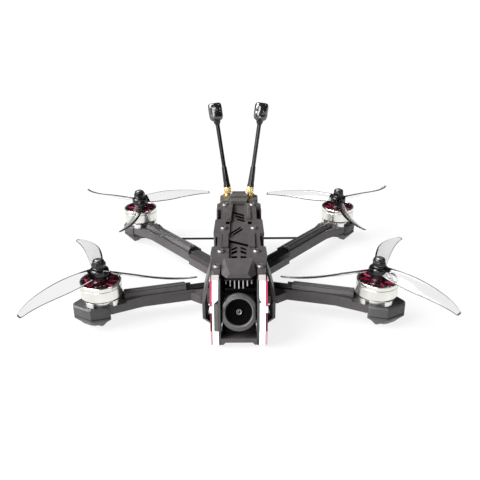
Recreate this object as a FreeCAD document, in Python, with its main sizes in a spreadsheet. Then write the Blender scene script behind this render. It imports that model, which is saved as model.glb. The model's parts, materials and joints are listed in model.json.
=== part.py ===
"""Five-inch freestyle racing drone with a nose camera.

Frame: the origin is on the ground, midway between the four motors.
The nose points to -Y, the drone's left side is +X, and +Z is up.
All sizes are in millimetres.
"""
import math
import os

import FreeCAD
import Part
from FreeCAD import Placement, Rotation, Vector

# Driving dimensions: alias -> value.
DIMENSIONS = {
    # Motor places and arm levels
    "motor_front_x": 93.15,
    "motor_front_y": -70.0,
    "motor_rear_x": 86.9,
    "motor_rear_y": 70.0,
    "arm_bottom": 10.0,
    "arm_height": 6.0,
    "front_arm_half": 6.5,
    "rear_arm_half": 6.3,
    "arm_pad_half": 10.8,
    "rail_width": 1.2,
    "rail_height": 1.6,
    "root_half_gap": 6.2,
    # Frame plates
    "bottom_plate_bottom": 7.5,
    "bottom_plate_height": 2.5,
    "mid_plate_height": 2.0,
    "deck_bottom": 45.0,
    "deck_height": 3.0,
    "channel_depth": 1.8,
    "deck_rail_height": 1.4,
    "body_half": 18.0,
    "side_wall": 1.4,
    "pad_half": 6.0,
    "pad_length": 60.0,
    # Fasteners
    "screw_radius": 1.5,
    "screw_hole_radius": 1.6,
    "screw_head_radius": 2.8,
    "screw_head_height": 1.7,
    "standoff_radius": 2.5,
    # Motors
    "bell_radius": 14.1,
    "bell_bottom": 20.9,
    "bell_top": 31.4,
    "magnet_inner_radius": 11.4,
    "stator_radius": 11.0,
    "tube_radius": 5.4,
    "bearing_radius": 4.5,
    "shaft_radius": 2.0,
    "shaft_play": 0.04,
    "thread_radius": 2.5,
    "motor_base_height": 2.2,
    "motor_screw_circle": 8.0,
    # Propellers
    "prop_radius": 65.6,
    "prop_hub_radius": 6.5,
    "prop_hub_bottom": 35.2,
    "prop_hub_height": 5.0,
    "prop_pitch": 117.0,
    "prop_sweep": 8.7,
    "prop_droop": 2.6,
    "nut_flange_radius": 4.75,
    "nut_height": 6.0,
    # Bumpers and arm covers
    "bumper_bevel": 6.5,
    "bumper_lower_band": 1.3,
    "bumper_groove": 0.9,
    "bumper_upper_band": 6.0,
    "bumper_crown": 1.0,
    "cover_height": 4.4,
    "cover_half": 4.4,
    "wire_radius": 0.9,
    # Nose
    "cheek_inner": 11.5,
    "cheek_skin": 1.4,
    "bar_width": 3.6,
    "trim_width": 1.5,
    "bar_depth": 2.2,
    "guard_thickness": 1.8,
    "pivot_y": -94.0,
    "pivot_z": 21.5,
    "camera_tilt": 20.0,
    "camera_half": 9.5,
    "lens_ring_radius": 12.0,
    "lens_ring_half_flat": 10.65,
    "lens_radius": 8.2,
    # Tail
    "tail_front": 36.5,
    "tail_rear": 52.0,
    "antenna_x": 9.7,
    "antenna_y": 48.0,
    "antenna_base": 57.0,
    "antenna_stem_radius": 1.7,
    "antenna_boot_radius": 2.6,
    "receiver_antenna_length": 100.0,
}

# Rows of top screws: (distance from the centre plane, place along the body).
DECK_SCREWS = [(14.0, -85.5), (12.0, -62.3), (11.0, -21.5), (10.9, 27.5)]
ROOT_SCREW = (10.5, -47.5)
STACK_SCREW = 12.75
STACK_CENTRE = 5.5

doc = FreeCAD.newDocument("racing_drone")
sheet = doc.addObject("Spreadsheet::Sheet", "dims")
for row, (alias, value) in enumerate(DIMENSIONS.items(), start=1):
    sheet.set(f"A{row}", alias.replace("_", " "))
    sheet.set(f"B{row}", str(value))
    sheet.setAlias(f"B{row}", alias)
doc.recompute()

nodes = []


def dim(alias):
    """The value of one cell of the sheet."""
    return float(sheet.get(alias))


def publish(obj, label):
    """Give a sub-part its own name and put it on the list of exported nodes."""
    obj.Label = label
    nodes.append(obj)
    return obj


# ---------------------------------------------------------------- sketch tools

def new_body(name):
    return doc.addObject("PartDesign::Body", name)


def new_sketch(body, role, offset="0"):
    """A sketch on one of the body's own origin planes, moved along its normal."""
    plane = next(f for f in body.Origin.OriginFeatures if f.Role == role)
    sketch = body.newObject("Sketcher::SketchObject", body.Name + "_sketch")
    sketch.AttachmentSupport = [(plane, "")]
    sketch.MapMode = "FlatFace"
    sketch.setExpression("AttachmentOffset.Base.z", offset)
    return sketch


def add_polygon(sketch, points):
    ring = list(points) + [points[0]]
    for (ax, ay), (bx, by) in zip(ring, ring[1:]):
        sketch.addGeometry(Part.LineSegment(Vector(ax, ay, 0), Vector(bx, by, 0)), False)


def add_circle(sketch, x, y, radius):
    sketch.addGeometry(Part.Circle(Vector(x, y, 0), Vector(0, 0, 1), radius), False)


def add_pad(body, sketch, length, reverse=False, midplane=False, taper=0.0):
    pad = body.newObject("PartDesign::Pad", body.Name + "_pad")
    pad.Profile = sketch
    pad.setExpression("Length", length)
    pad.Reversed = reverse
    pad.Midplane = midplane
    pad.TaperAngle = taper
    doc.recompute()
    return pad


def add_pocket(body, sketch, length):
    pocket = body.newObject("PartDesign::Pocket", body.Name + "_pocket")
    pocket.Profile = sketch
    pocket.setExpression("Length", length)
    before = pocket.BaseFeature.Shape.Volume
    doc.recompute()
    if pocket.Shape.Volume > before - 0.1:
        raise RuntimeError(body.Name + ": a pocket cuts nothing")
    return pocket


def padded(body, role, offset, length, points, circles=(), **options):
    """One pad with a polygon outline and round holes."""
    sketch = new_sketch(body, role, offset)
    add_polygon(sketch, points)
    for x, y, radius in circles:
        add_circle(sketch, x, y, radius)
    return add_pad(body, sketch, length, **options)


def pocketed(body, role, offset, length, outlines):
    """One pocket with several polygon outlines."""
    sketch = new_sketch(body, role, offset)
    for points in outlines:
        add_polygon(sketch, points)
    return add_pocket(body, sketch, length)


def turned(body, points):
    """A solid of revolution about the body's own Z axis, from (radius, height) points."""
    sketch = new_sketch(body, "XZ_Plane")
    add_polygon(sketch, points)
    turn = body.newObject("PartDesign::Revolution", body.Name + "_turn")
    turn.Profile = sketch
    turn.ReferenceAxis = (sketch, ["V_Axis"])
    turn.Angle = 360
    doc.recompute()
    return turn


def polar_pockets(body, offset, length, points, count):
    """A pocket repeated about the body's Z axis."""
    pocket = pocketed(body, "XY_Plane", offset, length, [points])
    pattern = body.newObject("PartDesign::PolarPattern", body.Name + "_pattern")
    pattern.Originals = [pocket]
    pattern.Axis = (pocket.Profile[0], ["N_Axis"])
    pattern.Angle = 360
    pattern.Occurrences = count
    body.Tip = pattern
    doc.recompute()
    return pattern


# ------------------------------------------------------------- primitive tools

def box(name, x_range, y_range, z_range):
    obj = doc.addObject("Part::Box", name)
    obj.Length = x_range[1] - x_range[0]
    obj.Width = y_range[1] - y_range[0]
    obj.Height = z_range[1] - z_range[0]
    obj.Placement = Placement(Vector(x_range[0], y_range[0], z_range[0]), Rotation())
    return obj


def cylinder(name, radius, height, place, direction=Vector(0, 0, 1)):
    """A cylinder whose radius is a formula of the sheet, from place along direction."""
    obj = doc.addObject("Part::Cylinder", name)
    obj.setExpression("Radius", radius)
    obj.Height = height
    obj.Placement = Placement(place, Rotation(Vector(0, 0, 1), direction))
    return obj


def fused(name, shapes):
    obj = doc.addObject("Part::MultiFuse", name)
    obj.Shapes = shapes
    return obj


def cut(name, base, tool):
    obj = doc.addObject("Part::Cut", name)
    obj.Base = base
    obj.Tool = tool
    return obj


def group(name, links):
    """Several separate solids that share one node."""
    obj = doc.addObject("Part::Compound", name)
    obj.Links = links
    return obj


def mirrored(name, source):
    """The same piece on the other side of the centre plane."""
    obj = doc.addObject("Part::Mirroring", name)
    obj.Source = source
    obj.Base = Vector(0, 0, 0)
    obj.Normal = Vector(1, 0, 0)
    return obj


def both_sides(name, source):
    """Publish a left piece and its mirror image on the right."""
    publish(source, name.format(side="left"))
    publish(mirrored(name.format(side="right"), source), name.format(side="right"))


def symmetric(half):
    """Close a right-half outline, listed rear to front, with its mirror image."""
    return list(half) + [(-x, y) for x, y in reversed(half)]


# -------------------------------------------------------------------- the arms

def arm_direction(end):
    """Unit vector from the left motor of that end towards the body."""
    slope = {"front": (-0.965, 0.262), "rear": (-0.630, -0.777)}[end]
    return Vector(slope[0], slope[1], 0).normalize()


def motor_place(end):
    return Vector(dim(f"motor_{end}_x"), dim(f"motor_{end}_y"), 0)


def along_arm(end, inward, forward):
    """A point of the left arm: distance towards the body and towards the nose."""
    direction = arm_direction(end)
    side = Vector(-direction.y, direction.x, 0)
    if side.y > 0:
        side = side * -1
    point = motor_place(end) + direction * inward + side * forward
    return (point.x, point.y)


def screw_circle(end, radius):
    """Four motor screw places, at 45 degrees to the arm."""
    direction = arm_direction(end)
    start = math.atan2(direction.y, direction.x) + math.pi / 4
    centre = motor_place(end)
    places = []
    for step in range(4):
        angle = start + step * math.pi / 2
        places.append((centre.x + radius * math.cos(angle), centre.y + radius * math.sin(angle)))
    return places


def arm_tip(end, side):
    """Outline of the motor pad on one side of the arm, from the neck to the tip."""
    half = dim("arm_pad_half")
    neck = dim(end + "_arm_half")
    local = [(27, neck), (7, half), (-7.5, half), (-12.5, 5.5)]
    return [along_arm(end, u, side * v) for u, v in local]


def front_arm_outline():
    root = (dim("motor_front_x") - dim("root_half_gap")) / 0.965
    foot = [(dim("root_half_gap"), -58.0), (8.5, -66.0), (18.0, -66.2), (26.7, -65.7), (33.5, -60.7)]
    back = [along_arm("front", root, -dim("front_arm_half"))]
    return foot + arm_tip("front", 1) + list(reversed(arm_tip("front", -1))) + back


def rear_arm_outline():
    half = dim("rear_arm_half")
    root = (dim("motor_rear_x") - dim("root_half_gap")) / 0.630
    local = [(root, half), (117, half), (115, half + 2.5), (86, half + 2.5), (83, half)]
    foot = [along_arm("rear", u, v) for u, v in local]
    back = [along_arm("rear", root, -half)]
    return foot + arm_tip("rear", 1) + list(reversed(arm_tip("rear", -1))) + back


def arm_rail(end, side, rail_end):
    """Outline of the raised rail along one edge of the arm's upper face."""
    neck, pad, width = dim(end + "_arm_half"), dim("arm_pad_half"), dim("rail_width")
    start = 15.5
    flare = neck + (pad - neck) * (27 - start) / 20
    outer = [(start, flare), (27, neck), (rail_end, neck)]
    inner = [(u, v - width) for u, v in reversed(outer)]
    return [along_arm(end, u, side * v) for u, v in outer + inner]


def make_arm(end, outline, clamp_holes, rail_end):
    hole = dim("screw_hole_radius")
    holes = [(x, y, hole) for x, y in screw_circle(end, dim("motor_screw_circle")) + clamp_holes]
    centre = motor_place(end)
    holes.append((centre.x, centre.y, 2.8))
    body = new_body(f"{end}_left_arm")
    padded(body, "XY_Plane", "dims.arm_bottom", "dims.arm_height", outline, holes)
    for side in (1, -1):
        padded(body, "XY_Plane", "dims.arm_bottom + dims.arm_height", "dims.rail_height",
               arm_rail(end, side, rail_end))
    both_sides(end + "_{side}_arm", body)
    return body


def bumper_outline(end, inset):
    """Octagon round the arm's tip; inset moves every side inwards."""
    outer, wide, inner = 19.6 - inset, 12.8 - inset, 4.2 - inset
    half = [(-outer, 2.2), (-9.0, wide), (1.5, wide), (inner, wide - 1.2)]
    points = half + [(u, -v) for u, v in reversed(half)]
    return [along_arm(end, u, v) for u, v in points]


def make_bumper(end, arm):
    """Soft cup under the arm's tip, bevelled to a smaller sole, with screw access holes."""
    blank = new_body(f"{end}_bumper_blank")
    slope = 40.0
    padded(blank, "XY_Plane", "dims.bumper_bevel", "dims.bumper_bevel", bumper_outline(end, 0),
           reverse=True, taper=-slope)
    level = "dims.bumper_bevel"
    for layer, inset in (("lower_band", 0), ("groove", 0.7), ("upper_band", 0)):
        padded(blank, "XY_Plane", level, "dims.bumper_" + layer, bumper_outline(end, inset))
        level += " + dims.bumper_" + layer
    padded(blank, "XY_Plane", level, "dims.bumper_crown", bumper_outline(end, 0), taper=-slope)
    reach = dim("arm_bottom") + dim("arm_height")
    access = []
    for index, (x, y) in enumerate(screw_circle(end, dim("motor_screw_circle"))):
        place = Vector(x, y, 0)
        access.append(cylinder(f"{end}_access_{index}", "dims.screw_head_radius + 0.4", reach, place))
    access.append(cylinder(f"{end}_vent", "3", reach, motor_place(end)))
    tools = fused(f"{end}_bumper_tools", [arm] + access)
    both_sides(end + "_{side}_bumper", cut(f"{end}_left_bumper", blank, tools))


def make_cover(end, start, stop):
    """Ribbed cover over the motor wires, with an open channel underneath."""
    half = dim("cover_half")
    height = dim("cover_height")
    profile = [(-half, 0), (-half, 2.0), (-half + 1.5, height), (half - 1.5, height), (half, 2.0),
               (half, 0), (3.2, 0), (3.2, 2.2), (-3.2, 2.2), (-3.2, 0)]
    body = new_body(f"{end}_cover")
    padded(body, "XZ_Plane", "0", str(stop - start), profile)
    x, y = along_arm(end, start, 0)
    direction = arm_direction(end)
    turn = Rotation(Vector(0, -1, 0), direction)
    body.Placement = Placement(Vector(x, y, dim("arm_bottom") + dim("arm_height")), turn)
    return [body, mirrored(f"{end}_cover_right", body)]


def make_wires(end, start, stop):
    """Three motor leads, side by side on top of the arm."""
    level = dim("arm_bottom") + dim("arm_height") + dim("wire_radius")
    wires = []
    for index, offset in enumerate((-2.1, 0.0, 2.1)):
        x, y = along_arm(end, start, offset)
        name = f"{end}_wire_{index}"
        wire = cylinder(name, "dims.wire_radius", stop - start, Vector(x, y, level),
                        arm_direction(end))
        wires += [wire, mirrored(name + "_right", wire)]
    return wires


# ------------------------------------------------------------------ the motors

def at_motor(obj, end, side, angle=0.0):
    """Put a piece on a motor axis; side is 1 for left and -1 for right."""
    obj.Placement = Placement(Vector(0, 0, 0), Rotation(Vector(0, 0, 1), angle))
    obj.setExpression(".Placement.Base.x", f"{side} * dims.motor_{end}_x")
    obj.setExpression(".Placement.Base.y", f"dims.motor_{end}_y")


def leg_angle(end, side):
    """Direction of the motor's first leg, in degrees."""
    direction = arm_direction(end)
    return math.degrees(math.atan2(direction.y, side * direction.x)) + 45


def make_motor_base(end, side, name):
    """Four-legged base with the tube that carries the bearings."""
    arm_top = dim("arm_bottom") + dim("arm_height")
    floor = arm_top + dim("motor_base_height")
    bore, tube = dim("bearing_radius"), dim("tube_radius")
    body = new_body(name)
    turned(body, [(0, arm_top), (9.5, arm_top), (9.5, floor), (tube + 1.2, 20.2), (tube, 20.2),
                  (tube, 29.4), (bore, 29.4), (bore, floor + 0.4), (0, floor + 0.4)])
    leg = [(5, -3.2), (12.6, -3.2), (13.4, -1.6), (13.4, 1.6), (12.6, 3.2), (5, 3.2)]
    for step in range(4):
        angle = math.radians(90 * step)
        points = [(x * math.cos(angle) - y * math.sin(angle),
                   x * math.sin(angle) + y * math.cos(angle)) for x, y in leg]
        padded(body, "XY_Plane", "dims.arm_bottom + dims.arm_height", "dims.motor_base_height + 1.6",
               points)
    sketch = new_sketch(body, "XY_Plane", "dims.arm_bottom + dims.arm_height + 3.6")
    for x, y in ((1, 0), (0, 1), (-1, 0), (0, -1)):
        radius = dim("motor_screw_circle")
        add_circle(sketch, x * radius, y * radius, dim("screw_radius"))
    add_pocket(body, sketch, "3.6")
    at_motor(body, end, side, leg_angle(end, side))
    return body


def make_motor_bell(end, side, name):
    """Magnet bell, spoked cap, neck and threaded shaft."""
    outer, magnets = dim("bell_radius"), dim("magnet_inner_radius")
    low, top = dim("bell_bottom"), dim("bell_top")
    shaft, thread = dim("shaft_radius"), dim("thread_radius")
    hub_top = dim("prop_hub_bottom")
    body = new_body(name)
    turned(body, [(0, 18.9), (shaft, 18.9), (shaft, 29.8), (magnets, 29.8), (magnets, low),
                  (outer - 0.5, low), (outer, low + 0.5), (outer, top - 0.8), (outer - 0.8, top),
                  (4.6, top), (4.0, top + 0.6), (4.0, hub_top), (thread, hub_top), (thread, 46.3),
                  (thread - 0.5, 46.8), (0, 46.8)])
    inner, rim, half = 5.4, 12.2, math.radians(14)
    window = [(inner * math.cos(half), -inner * math.sin(half)),
              (rim * math.cos(half), -rim * math.sin(half)), (rim + 0.3, 0),
              (rim * math.cos(half), rim * math.sin(half)),
              (inner * math.cos(half), inner * math.sin(half))]
    polar_pockets(body, "dims.bell_top + 0.1", "1.9", window, 9)
    at_motor(body, end, side)
    return body


def make_stator(end, side):
    """Twelve wound teeth round the bearing tube."""
    body = new_body(f"{end}_stator")
    radius, tube = dim("stator_radius"), dim("tube_radius")
    turned(body, [(tube, 21.6), (radius, 21.6), (radius, 29.2), (tube, 29.2)])
    slot = [(7.2, -0.5), (radius + 1, -0.9), (radius + 1, 0.9), (7.2, 0.5)]
    polar_pockets(body, "29.3", "7.8", slot, 12)
    at_motor(body, end, side)
    return body


def make_bearings(end, side):
    rings = []
    for low in (19.2, 25.2):
        body = new_body(f"{end}_bearing")
        inner = dim("shaft_radius") + dim("shaft_play")
        outer = dim("bearing_radius")
        turned(body, [(inner, low), (outer, low), (outer, low + 4), (inner, low + 4)])
        at_motor(body, end, side)
        rings.append(body)
    return rings


def make_motor_screws(end, side):
    """Screws that come up through the arm into the motor's legs."""
    screws = []
    head = dim("screw_head_height")
    for index, (x, y) in enumerate(screw_circle(end, dim("motor_screw_circle"))):
        low = dim("arm_bottom")
        shank = cylinder(f"{end}_motor_shank_{index}", "dims.screw_radius", 9.0,
                         Vector(side * x, y, low))
        cap = cylinder(f"{end}_motor_cap_{index}", "dims.screw_head_radius", head,
                       Vector(side * x, y, low - head))
        screws.append(fused(f"{end}_motor_screw_{index}", [shank, cap]))
    return screws


def make_prop_nut(end, side, name):
    body = new_body(name)
    low = dim("prop_hub_bottom") + dim("prop_hub_height")
    top = low + dim("nut_height")
    flange, thread = dim("nut_flange_radius"), dim("thread_radius")
    turned(body, [(thread, low), (flange, low), (flange, low + 1.0), (4.3, low + 1.5),
                  (4.3, top - 1.6), (3.6, top - 0.4), (3.2, top), (thread, top)])
    corner = 4.3 / math.cos(math.pi / 6)
    hexagon = [(corner * math.cos(math.pi * k / 3), corner * math.sin(math.pi * k / 3))
               for k in range(6)]
    padded(body, "XY_Plane", "dims.prop_hub_bottom + dims.prop_hub_height + 1", "3.2", hexagon,
           [(0, 0, thread)])
    at_motor(body, end, side)
    return body


# -------------------------------------------------------------- the propellers

def blade_section(radius, spin):
    """Closed lens-shaped section of a blade; spin is 1 for a left-hand turn seen from above."""
    tip = dim("prop_radius")
    share = (radius - 5.0) / (tip - 5.0)
    chord = 8.3 + 14.0 * share - 18.6 * share ** 2
    thickness = 2.3 - 1.2 * share
    camber = 0.05 * chord
    lead = math.radians(dim("prop_sweep")) * (1 - share ** 2.85) * spin
    pitch = math.atan(dim("prop_pitch") / (2 * math.pi * max(radius, 27.0)))
    out = Vector(math.cos(lead), math.sin(lead), 0)
    forward = Vector(-math.sin(lead), math.cos(lead), 0) * spin
    chord_line = forward * math.cos(pitch) + Vector(0, 0, math.sin(pitch))
    normal = Vector(0, 0, math.cos(pitch)) - forward * math.sin(pitch)
    centre = out * radius - Vector(0, 0, dim("prop_droop") * share)
    front = centre + chord_line * (chord / 2)
    back = centre - chord_line * (chord / 2)
    upper = Part.Arc(front, centre + normal * (camber + thickness / 2), back).toShape()
    lower = Part.Arc(back, centre + normal * (camber - thickness / 2), front).toShape()
    return Part.Wire([upper, lower])


def make_propeller(end, side, spin, tip_angle, name):
    """Three twisted, swept blades on a round hub, lofted through their sections."""
    tip = dim("prop_radius")
    radii = [5.0, 12.0, 20.0, 30.0, 40.0, 50.0, 58.0, tip]
    blade = Part.makeLoft([blade_section(radius, spin) for radius in radii], True, False)
    height = dim("prop_hub_height")
    hub = Part.makeCylinder(dim("prop_hub_radius"), height, Vector(0, 0, -height / 2))
    blades = [blade.rotated(Vector(0, 0, 0), Vector(0, 0, 1), 120 * k) for k in range(3)]
    solid = hub.multiFuse(blades)
    bore = Part.makeCylinder(dim("thread_radius"), 3 * height, Vector(0, 0, -1.5 * height))
    solid = solid.cut(bore).removeSplitter()
    obj = doc.addObject("Part::Feature", name)
    obj.Shape = solid
    obj.Placement = Placement(
        Vector(side * dim(f"motor_{end}_x"), dim(f"motor_{end}_y"),
               dim("prop_hub_bottom") + height / 2),
        Rotation(Vector(0, 0, 1), tip_angle))
    return obj


# -------------------------------------------------------------- the main frame

def deck_holes(radius):
    return [(side * x, y, radius) for x, y in DECK_SCREWS for side in (1, -1)]


def slanted_slot(x, y, width, height, lean):
    """A parallelogram slot centred at (x, y)."""
    half_w, half_h = width / 2, height / 2
    return [(x - half_w, y - half_h - lean), (x + half_w, y - half_h + lean),
            (x + half_w, y + half_h + lean), (x - half_w, y + half_h - lean)]


def make_bottom_plate():
    half = [(12.0, 40.0), (16.5, 34.0), (16.5, -12.0), (18.0, -16.0), (18.0, -64.0),
            (16.4, -68.0), (16.4, -89.0), (12.0, -89.0), (10.9, -81.5)]
    hole = dim("screw_hole_radius")
    holes = deck_holes(hole) + [(side * ROOT_SCREW[0], ROOT_SCREW[1], hole) for side in (1, -1)]
    body = new_body("bottom_plate")
    padded(body, "XY_Plane", "dims.bottom_plate_bottom", "dims.bottom_plate_height",
           symmetric(half), holes)
    slots = [slanted_slot(side * 11.0, y, 3.0, 14.0, 0.0) for side in (1, -1) for y in (0.0, 17.0)]
    pocketed(body, "XY_Plane", "dims.arm_bottom + 0.5", "dims.bottom_plate_height + 1", slots)
    publish(body, "bottom_plate")


def make_mid_plate():
    """Plate on top of the arms, notched where the motor wires come in."""
    edge, notch = 18.0, 12.8
    half = [(11.5, 36.0), (edge, 30.0), (edge, -7.0), (notch, -9.0), (notch, -14.5),
            (edge, -26.5), (edge, -42.0), (notch, -43.0), (notch, -55.0), (edge, -56.0),
            (edge, -66.0), (16.4, -68.0), (16.4, -89.0), (12.0, -89.0), (10.9, -80.0)]
    hole = dim("screw_hole_radius")
    holes = deck_holes(hole) + [(side * ROOT_SCREW[0], ROOT_SCREW[1], hole) for side in (1, -1)]
    holes += [(x, y, dim("screw_radius")) for x, y in stack_corners()]
    body = new_body("mid_plate")
    padded(body, "XY_Plane", "dims.arm_bottom + dims.arm_height", "dims.mid_plate_height",
           symmetric(half), holes)
    publish(body, "mid_plate")


def make_top_plate():
    """Deck with strap notches, raised battery rails and a recessed, slotted channel."""
    half = [(13.5, 36.0), (17.6, 30.5), (17.6, 25.6), (13.6, 24.4), (13.6, -2.6), (17.9, -4.0),
            (18.3, -29.6), (15.0, -31.0), (15.0, -52.6), (18.5, -54.0), (18.9, -66.0),
            (18.0, -72.0), (17.3, -90.0), (15.5, -94.8), (11.9, -94.8), (11.5, -82.0)]
    deck_top = "dims.deck_bottom + dims.deck_height"
    body = new_body("top_plate")
    padded(body, "XY_Plane", "dims.deck_bottom", "dims.deck_height", symmetric(half),
           deck_holes(dim("screw_hole_radius")))
    channel = symmetric([(4.6, 31.0), (6.0, -5.0), (6.6, -8.0), (6.6, -76.0)])
    pocketed(body, "XY_Plane", deck_top, "dims.channel_depth", [channel])
    rib = [(-6.6, -37.5), (6.6, -46.4), (6.6, -50.2), (-6.6, -42.3)]
    padded(body, "XY_Plane", deck_top + " - dims.channel_depth", "dims.channel_depth", rib)
    rear_rail = [(4.6, 28.0), (7.8, 28.0), (7.8, 24.2), (9.0, 23.0), (9.0, -5.0), (6.0, -5.0)]
    middle_rail = [(7.2, -30.0), (11.3, -31.5), (11.3, -57.0), (7.2, -57.0)]
    for side in (1, -1):
        for rail in (rear_rail, middle_rail):
            padded(body, "XY_Plane", deck_top, "dims.deck_rail_height",
                   [(side * x, y) for x, y in rail])
    slots = [slanted_slot(0.0, 12.0, 8.4, 4.7, -3.2), slanted_slot(0.8, 5.6, 7.0, 4.6, -2.66),
             slanted_slot(1.5, -0.6, 5.8, 4.6, -2.2)]
    for side in (1, -1):
        slots += [slanted_slot(side * 3.1, y, 4.0, height, side * lean)
                  for y, height, lean in ((-53.6, 3.4, -1.9), (-59.6, 4.2, -1.9), (-67.9, 4.6, -0.3))]
    slots += [slanted_slot(-2.2, -21.0, 7.2, 3.8, 5.9), slanted_slot(-0.8, -24.1, 7.2, 3.8, 5.9)]
    slots += [slanted_slot(side * 8.3, -10.4, 3.0, 5.6, 0.0) for side in (1, -1)]
    pocketed(body, "XY_Plane", deck_top + " + 0.5", "dims.deck_height + 1", slots)
    publish(body, "top_plate")


def make_landing_pad():
    half, reach = dim("pad_half"), dim("pad_length") / 2
    body = new_body("landing_pad")
    outline = symmetric([(half - 2, reach), (half, reach - 2), (half, 2 - reach), (half - 2, -reach)])
    padded(body, "XY_Plane", "0", "dims.bottom_plate_bottom", outline)
    publish(body, "landing_pad")


def make_standoffs():
    """Pillars between the mid plate and the deck, and spacers beside the arms."""
    mid_top = dim("arm_bottom") + dim("arm_height") + dim("mid_plate_height")
    pillars = []
    for index, (x, y) in enumerate(DECK_SCREWS):
        spans = [("pillar", mid_top, dim("deck_bottom"))]
        if index in (0, 3):
            spans.append(("spacer", dim("arm_bottom"), dim("arm_bottom") + dim("arm_height")))
        for kind, low, high in spans:
            name = f"{kind}_{index}"
            rod = cylinder(name + "_rod", "dims.standoff_radius", high - low, Vector(x, y, low))
            bore = cylinder(name + "_bore", "dims.screw_radius", high - low, Vector(x, y, low))
            piece = cut(name, rod, bore)
            pillars += [piece, mirrored(name + "_right", piece)]
    publish(group("standoffs", pillars), "standoffs")


def make_button_screw(name, x, y, seat, length, upward):
    """Button-head screw with a hexagon socket; upward tells which way its head faces."""
    head = dim("screw_head_height")
    body = new_body(name)
    rim = dim("screw_head_radius")
    turned(body, [(0, -length), (dim("screw_radius"), -length), (dim("screw_radius"), 0), (rim, 0),
                  (rim, 0.5), (rim * 0.72, head), (0, head)])
    key = [(1.15 * math.cos(math.pi * k / 3), 1.15 * math.sin(math.pi * k / 3)) for k in range(6)]
    pocketed(body, "XY_Plane", "dims.screw_head_height + 0.1", "1.2", [key])
    facing = Rotation() if upward else Rotation(Vector(1, 0, 0), 180)
    body.Placement = Placement(Vector(x, y, seat), facing)
    return body


def make_frame_screws():
    deck_top = dim("deck_bottom") + dim("deck_height")
    screws = []
    for index, (x, y) in enumerate(DECK_SCREWS):
        top = make_button_screw(f"deck_screw_{index}", x, y, deck_top, 10.0, True)
        low = make_button_screw(f"belly_screw_{index}", x, y, dim("bottom_plate_bottom"), 18.0,
                                False)
        screws += [top, low]
    screws.append(make_button_screw("root_screw", *ROOT_SCREW, dim("bottom_plate_bottom"), 10.5,
                                    False))
    screws += [mirrored(screw.Name + "_right", screw) for screw in list(screws)]
    publish(group("frame_screws", screws), "frame_screws")


def make_side_panel():
    """Wall between the mid plate and the deck, with vents and strap recesses."""
    mid_top = dim("arm_bottom") + dim("arm_height") + dim("mid_plate_height")
    deck = dim("deck_bottom")
    profile = [(-73.5, mid_top), (28.0, mid_top), (28.0, deck), (24.9, deck), (23.4, deck - 5),
               (-1.6, deck - 5), (-3.1, deck), (-31.5, deck), (-33.0, deck - 5), (-51.1, deck - 5),
               (-52.6, deck), (-73.5, deck)]
    body = new_body("left_panel")
    padded(body, "YZ_Plane", "dims.body_half - dims.side_wall", "dims.side_wall", profile)
    inside = dim("body_half") - dim("side_wall")
    flange = [(14.2, 26.6), (inside + 0.2, 26.6), (inside + 0.2, 28.0), (14.2, 28.0)]
    padded(body, "XY_Plane", str(mid_top), str(deck - mid_top), flange)
    vents = [[(y, 24.0), (y + 9.0, 24.0), (y + 12.0, 35.0), (y + 3.0, 35.0)]
             for y in (-66.0, -51.0, -36.0, -8.0, 7.0)]
    sketch = new_sketch(body, "YZ_Plane", "dims.body_half + 1")
    for points in vents:
        add_polygon(sketch, points)
    add_pocket(body, sketch, "dims.side_wall + 2")
    both_sides("side_panel_{side}", body)


# -------------------------------------------------------------------- the nose

NOSE_FRONT = [(-98.0, 45.0), (-105.0, 34.5), (-107.0, 13.5), (-104.5, 1.5)]


def nose_profile(depth, rear):
    """Outline of a nose plate: the front edge set back by depth, and the rear points."""
    return [(y + depth, z) for y, z in NOSE_FRONT] + rear


def make_cheek():
    """Side of the camera cage: inner skin, front column with a light groove, outer skin."""
    inner = dim("cheek_inner")
    outer = dim("body_half")
    depth = dim("bar_depth")
    body = new_body("left_cheek")
    pivot = (dim("pivot_y"), dim("pivot_z"))
    hole = (pivot[0], pivot[1], dim("screw_radius") + 0.05)
    inner_rear = [(-97.0, 1.5), (-89.5, 7.5), (-89.5, 45.0)]
    padded(body, "YZ_Plane", "dims.cheek_inner", "dims.cheek_skin", nose_profile(0, inner_rear),
           [hole])
    column_rear = [(-99.5, 1.5), (-101.0, 13.5), (-99.5, 34.5), (-94.5, 45.0)]
    padded(body, "YZ_Plane", "dims.cheek_inner + dims.cheek_skin",
           "dims.body_half - dims.cheek_inner - dims.cheek_skin",
           nose_profile(depth, column_rear))
    outer_rear = [(-97.0, 1.5), (-89.0, 7.5), (-73.8, 7.5), (-73.8, 45.0)]
    skin = dim("side_wall")
    padded(body, "YZ_Plane", "dims.body_half - dims.side_wall", "dims.side_wall",
           nose_profile(depth, outer_rear), [hole])
    boss = new_sketch(body, "YZ_Plane", "dims.cheek_inner + dims.cheek_skin")
    add_circle(boss, *pivot, 3.6)
    add_circle(boss, *hole)
    add_pad(body, boss, f"{outer - skin - inner - dim('cheek_skin')}")
    both_sides("camera_cheek_{side}", body)


def front_strip(name, offset, width):
    """A strip that follows the front edge of the left cheek."""
    depth = dim("bar_depth")
    body = new_body(name)
    rear = [(y + depth, z) for y, z in reversed(NOSE_FRONT)]
    padded(body, "YZ_Plane", offset, width, NOSE_FRONT + rear)
    return [body, mirrored(name + "_right", body)]


def make_lights():
    bars = front_strip("light_bar", "dims.cheek_inner + dims.cheek_skin", "dims.bar_width")
    trims = front_strip("light_trim", "dims.body_half - dims.trim_width", "dims.trim_width")
    publish(group("light_bars", bars), "light_bars")
    publish(group("light_trims", trims), "light_trims")


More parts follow.
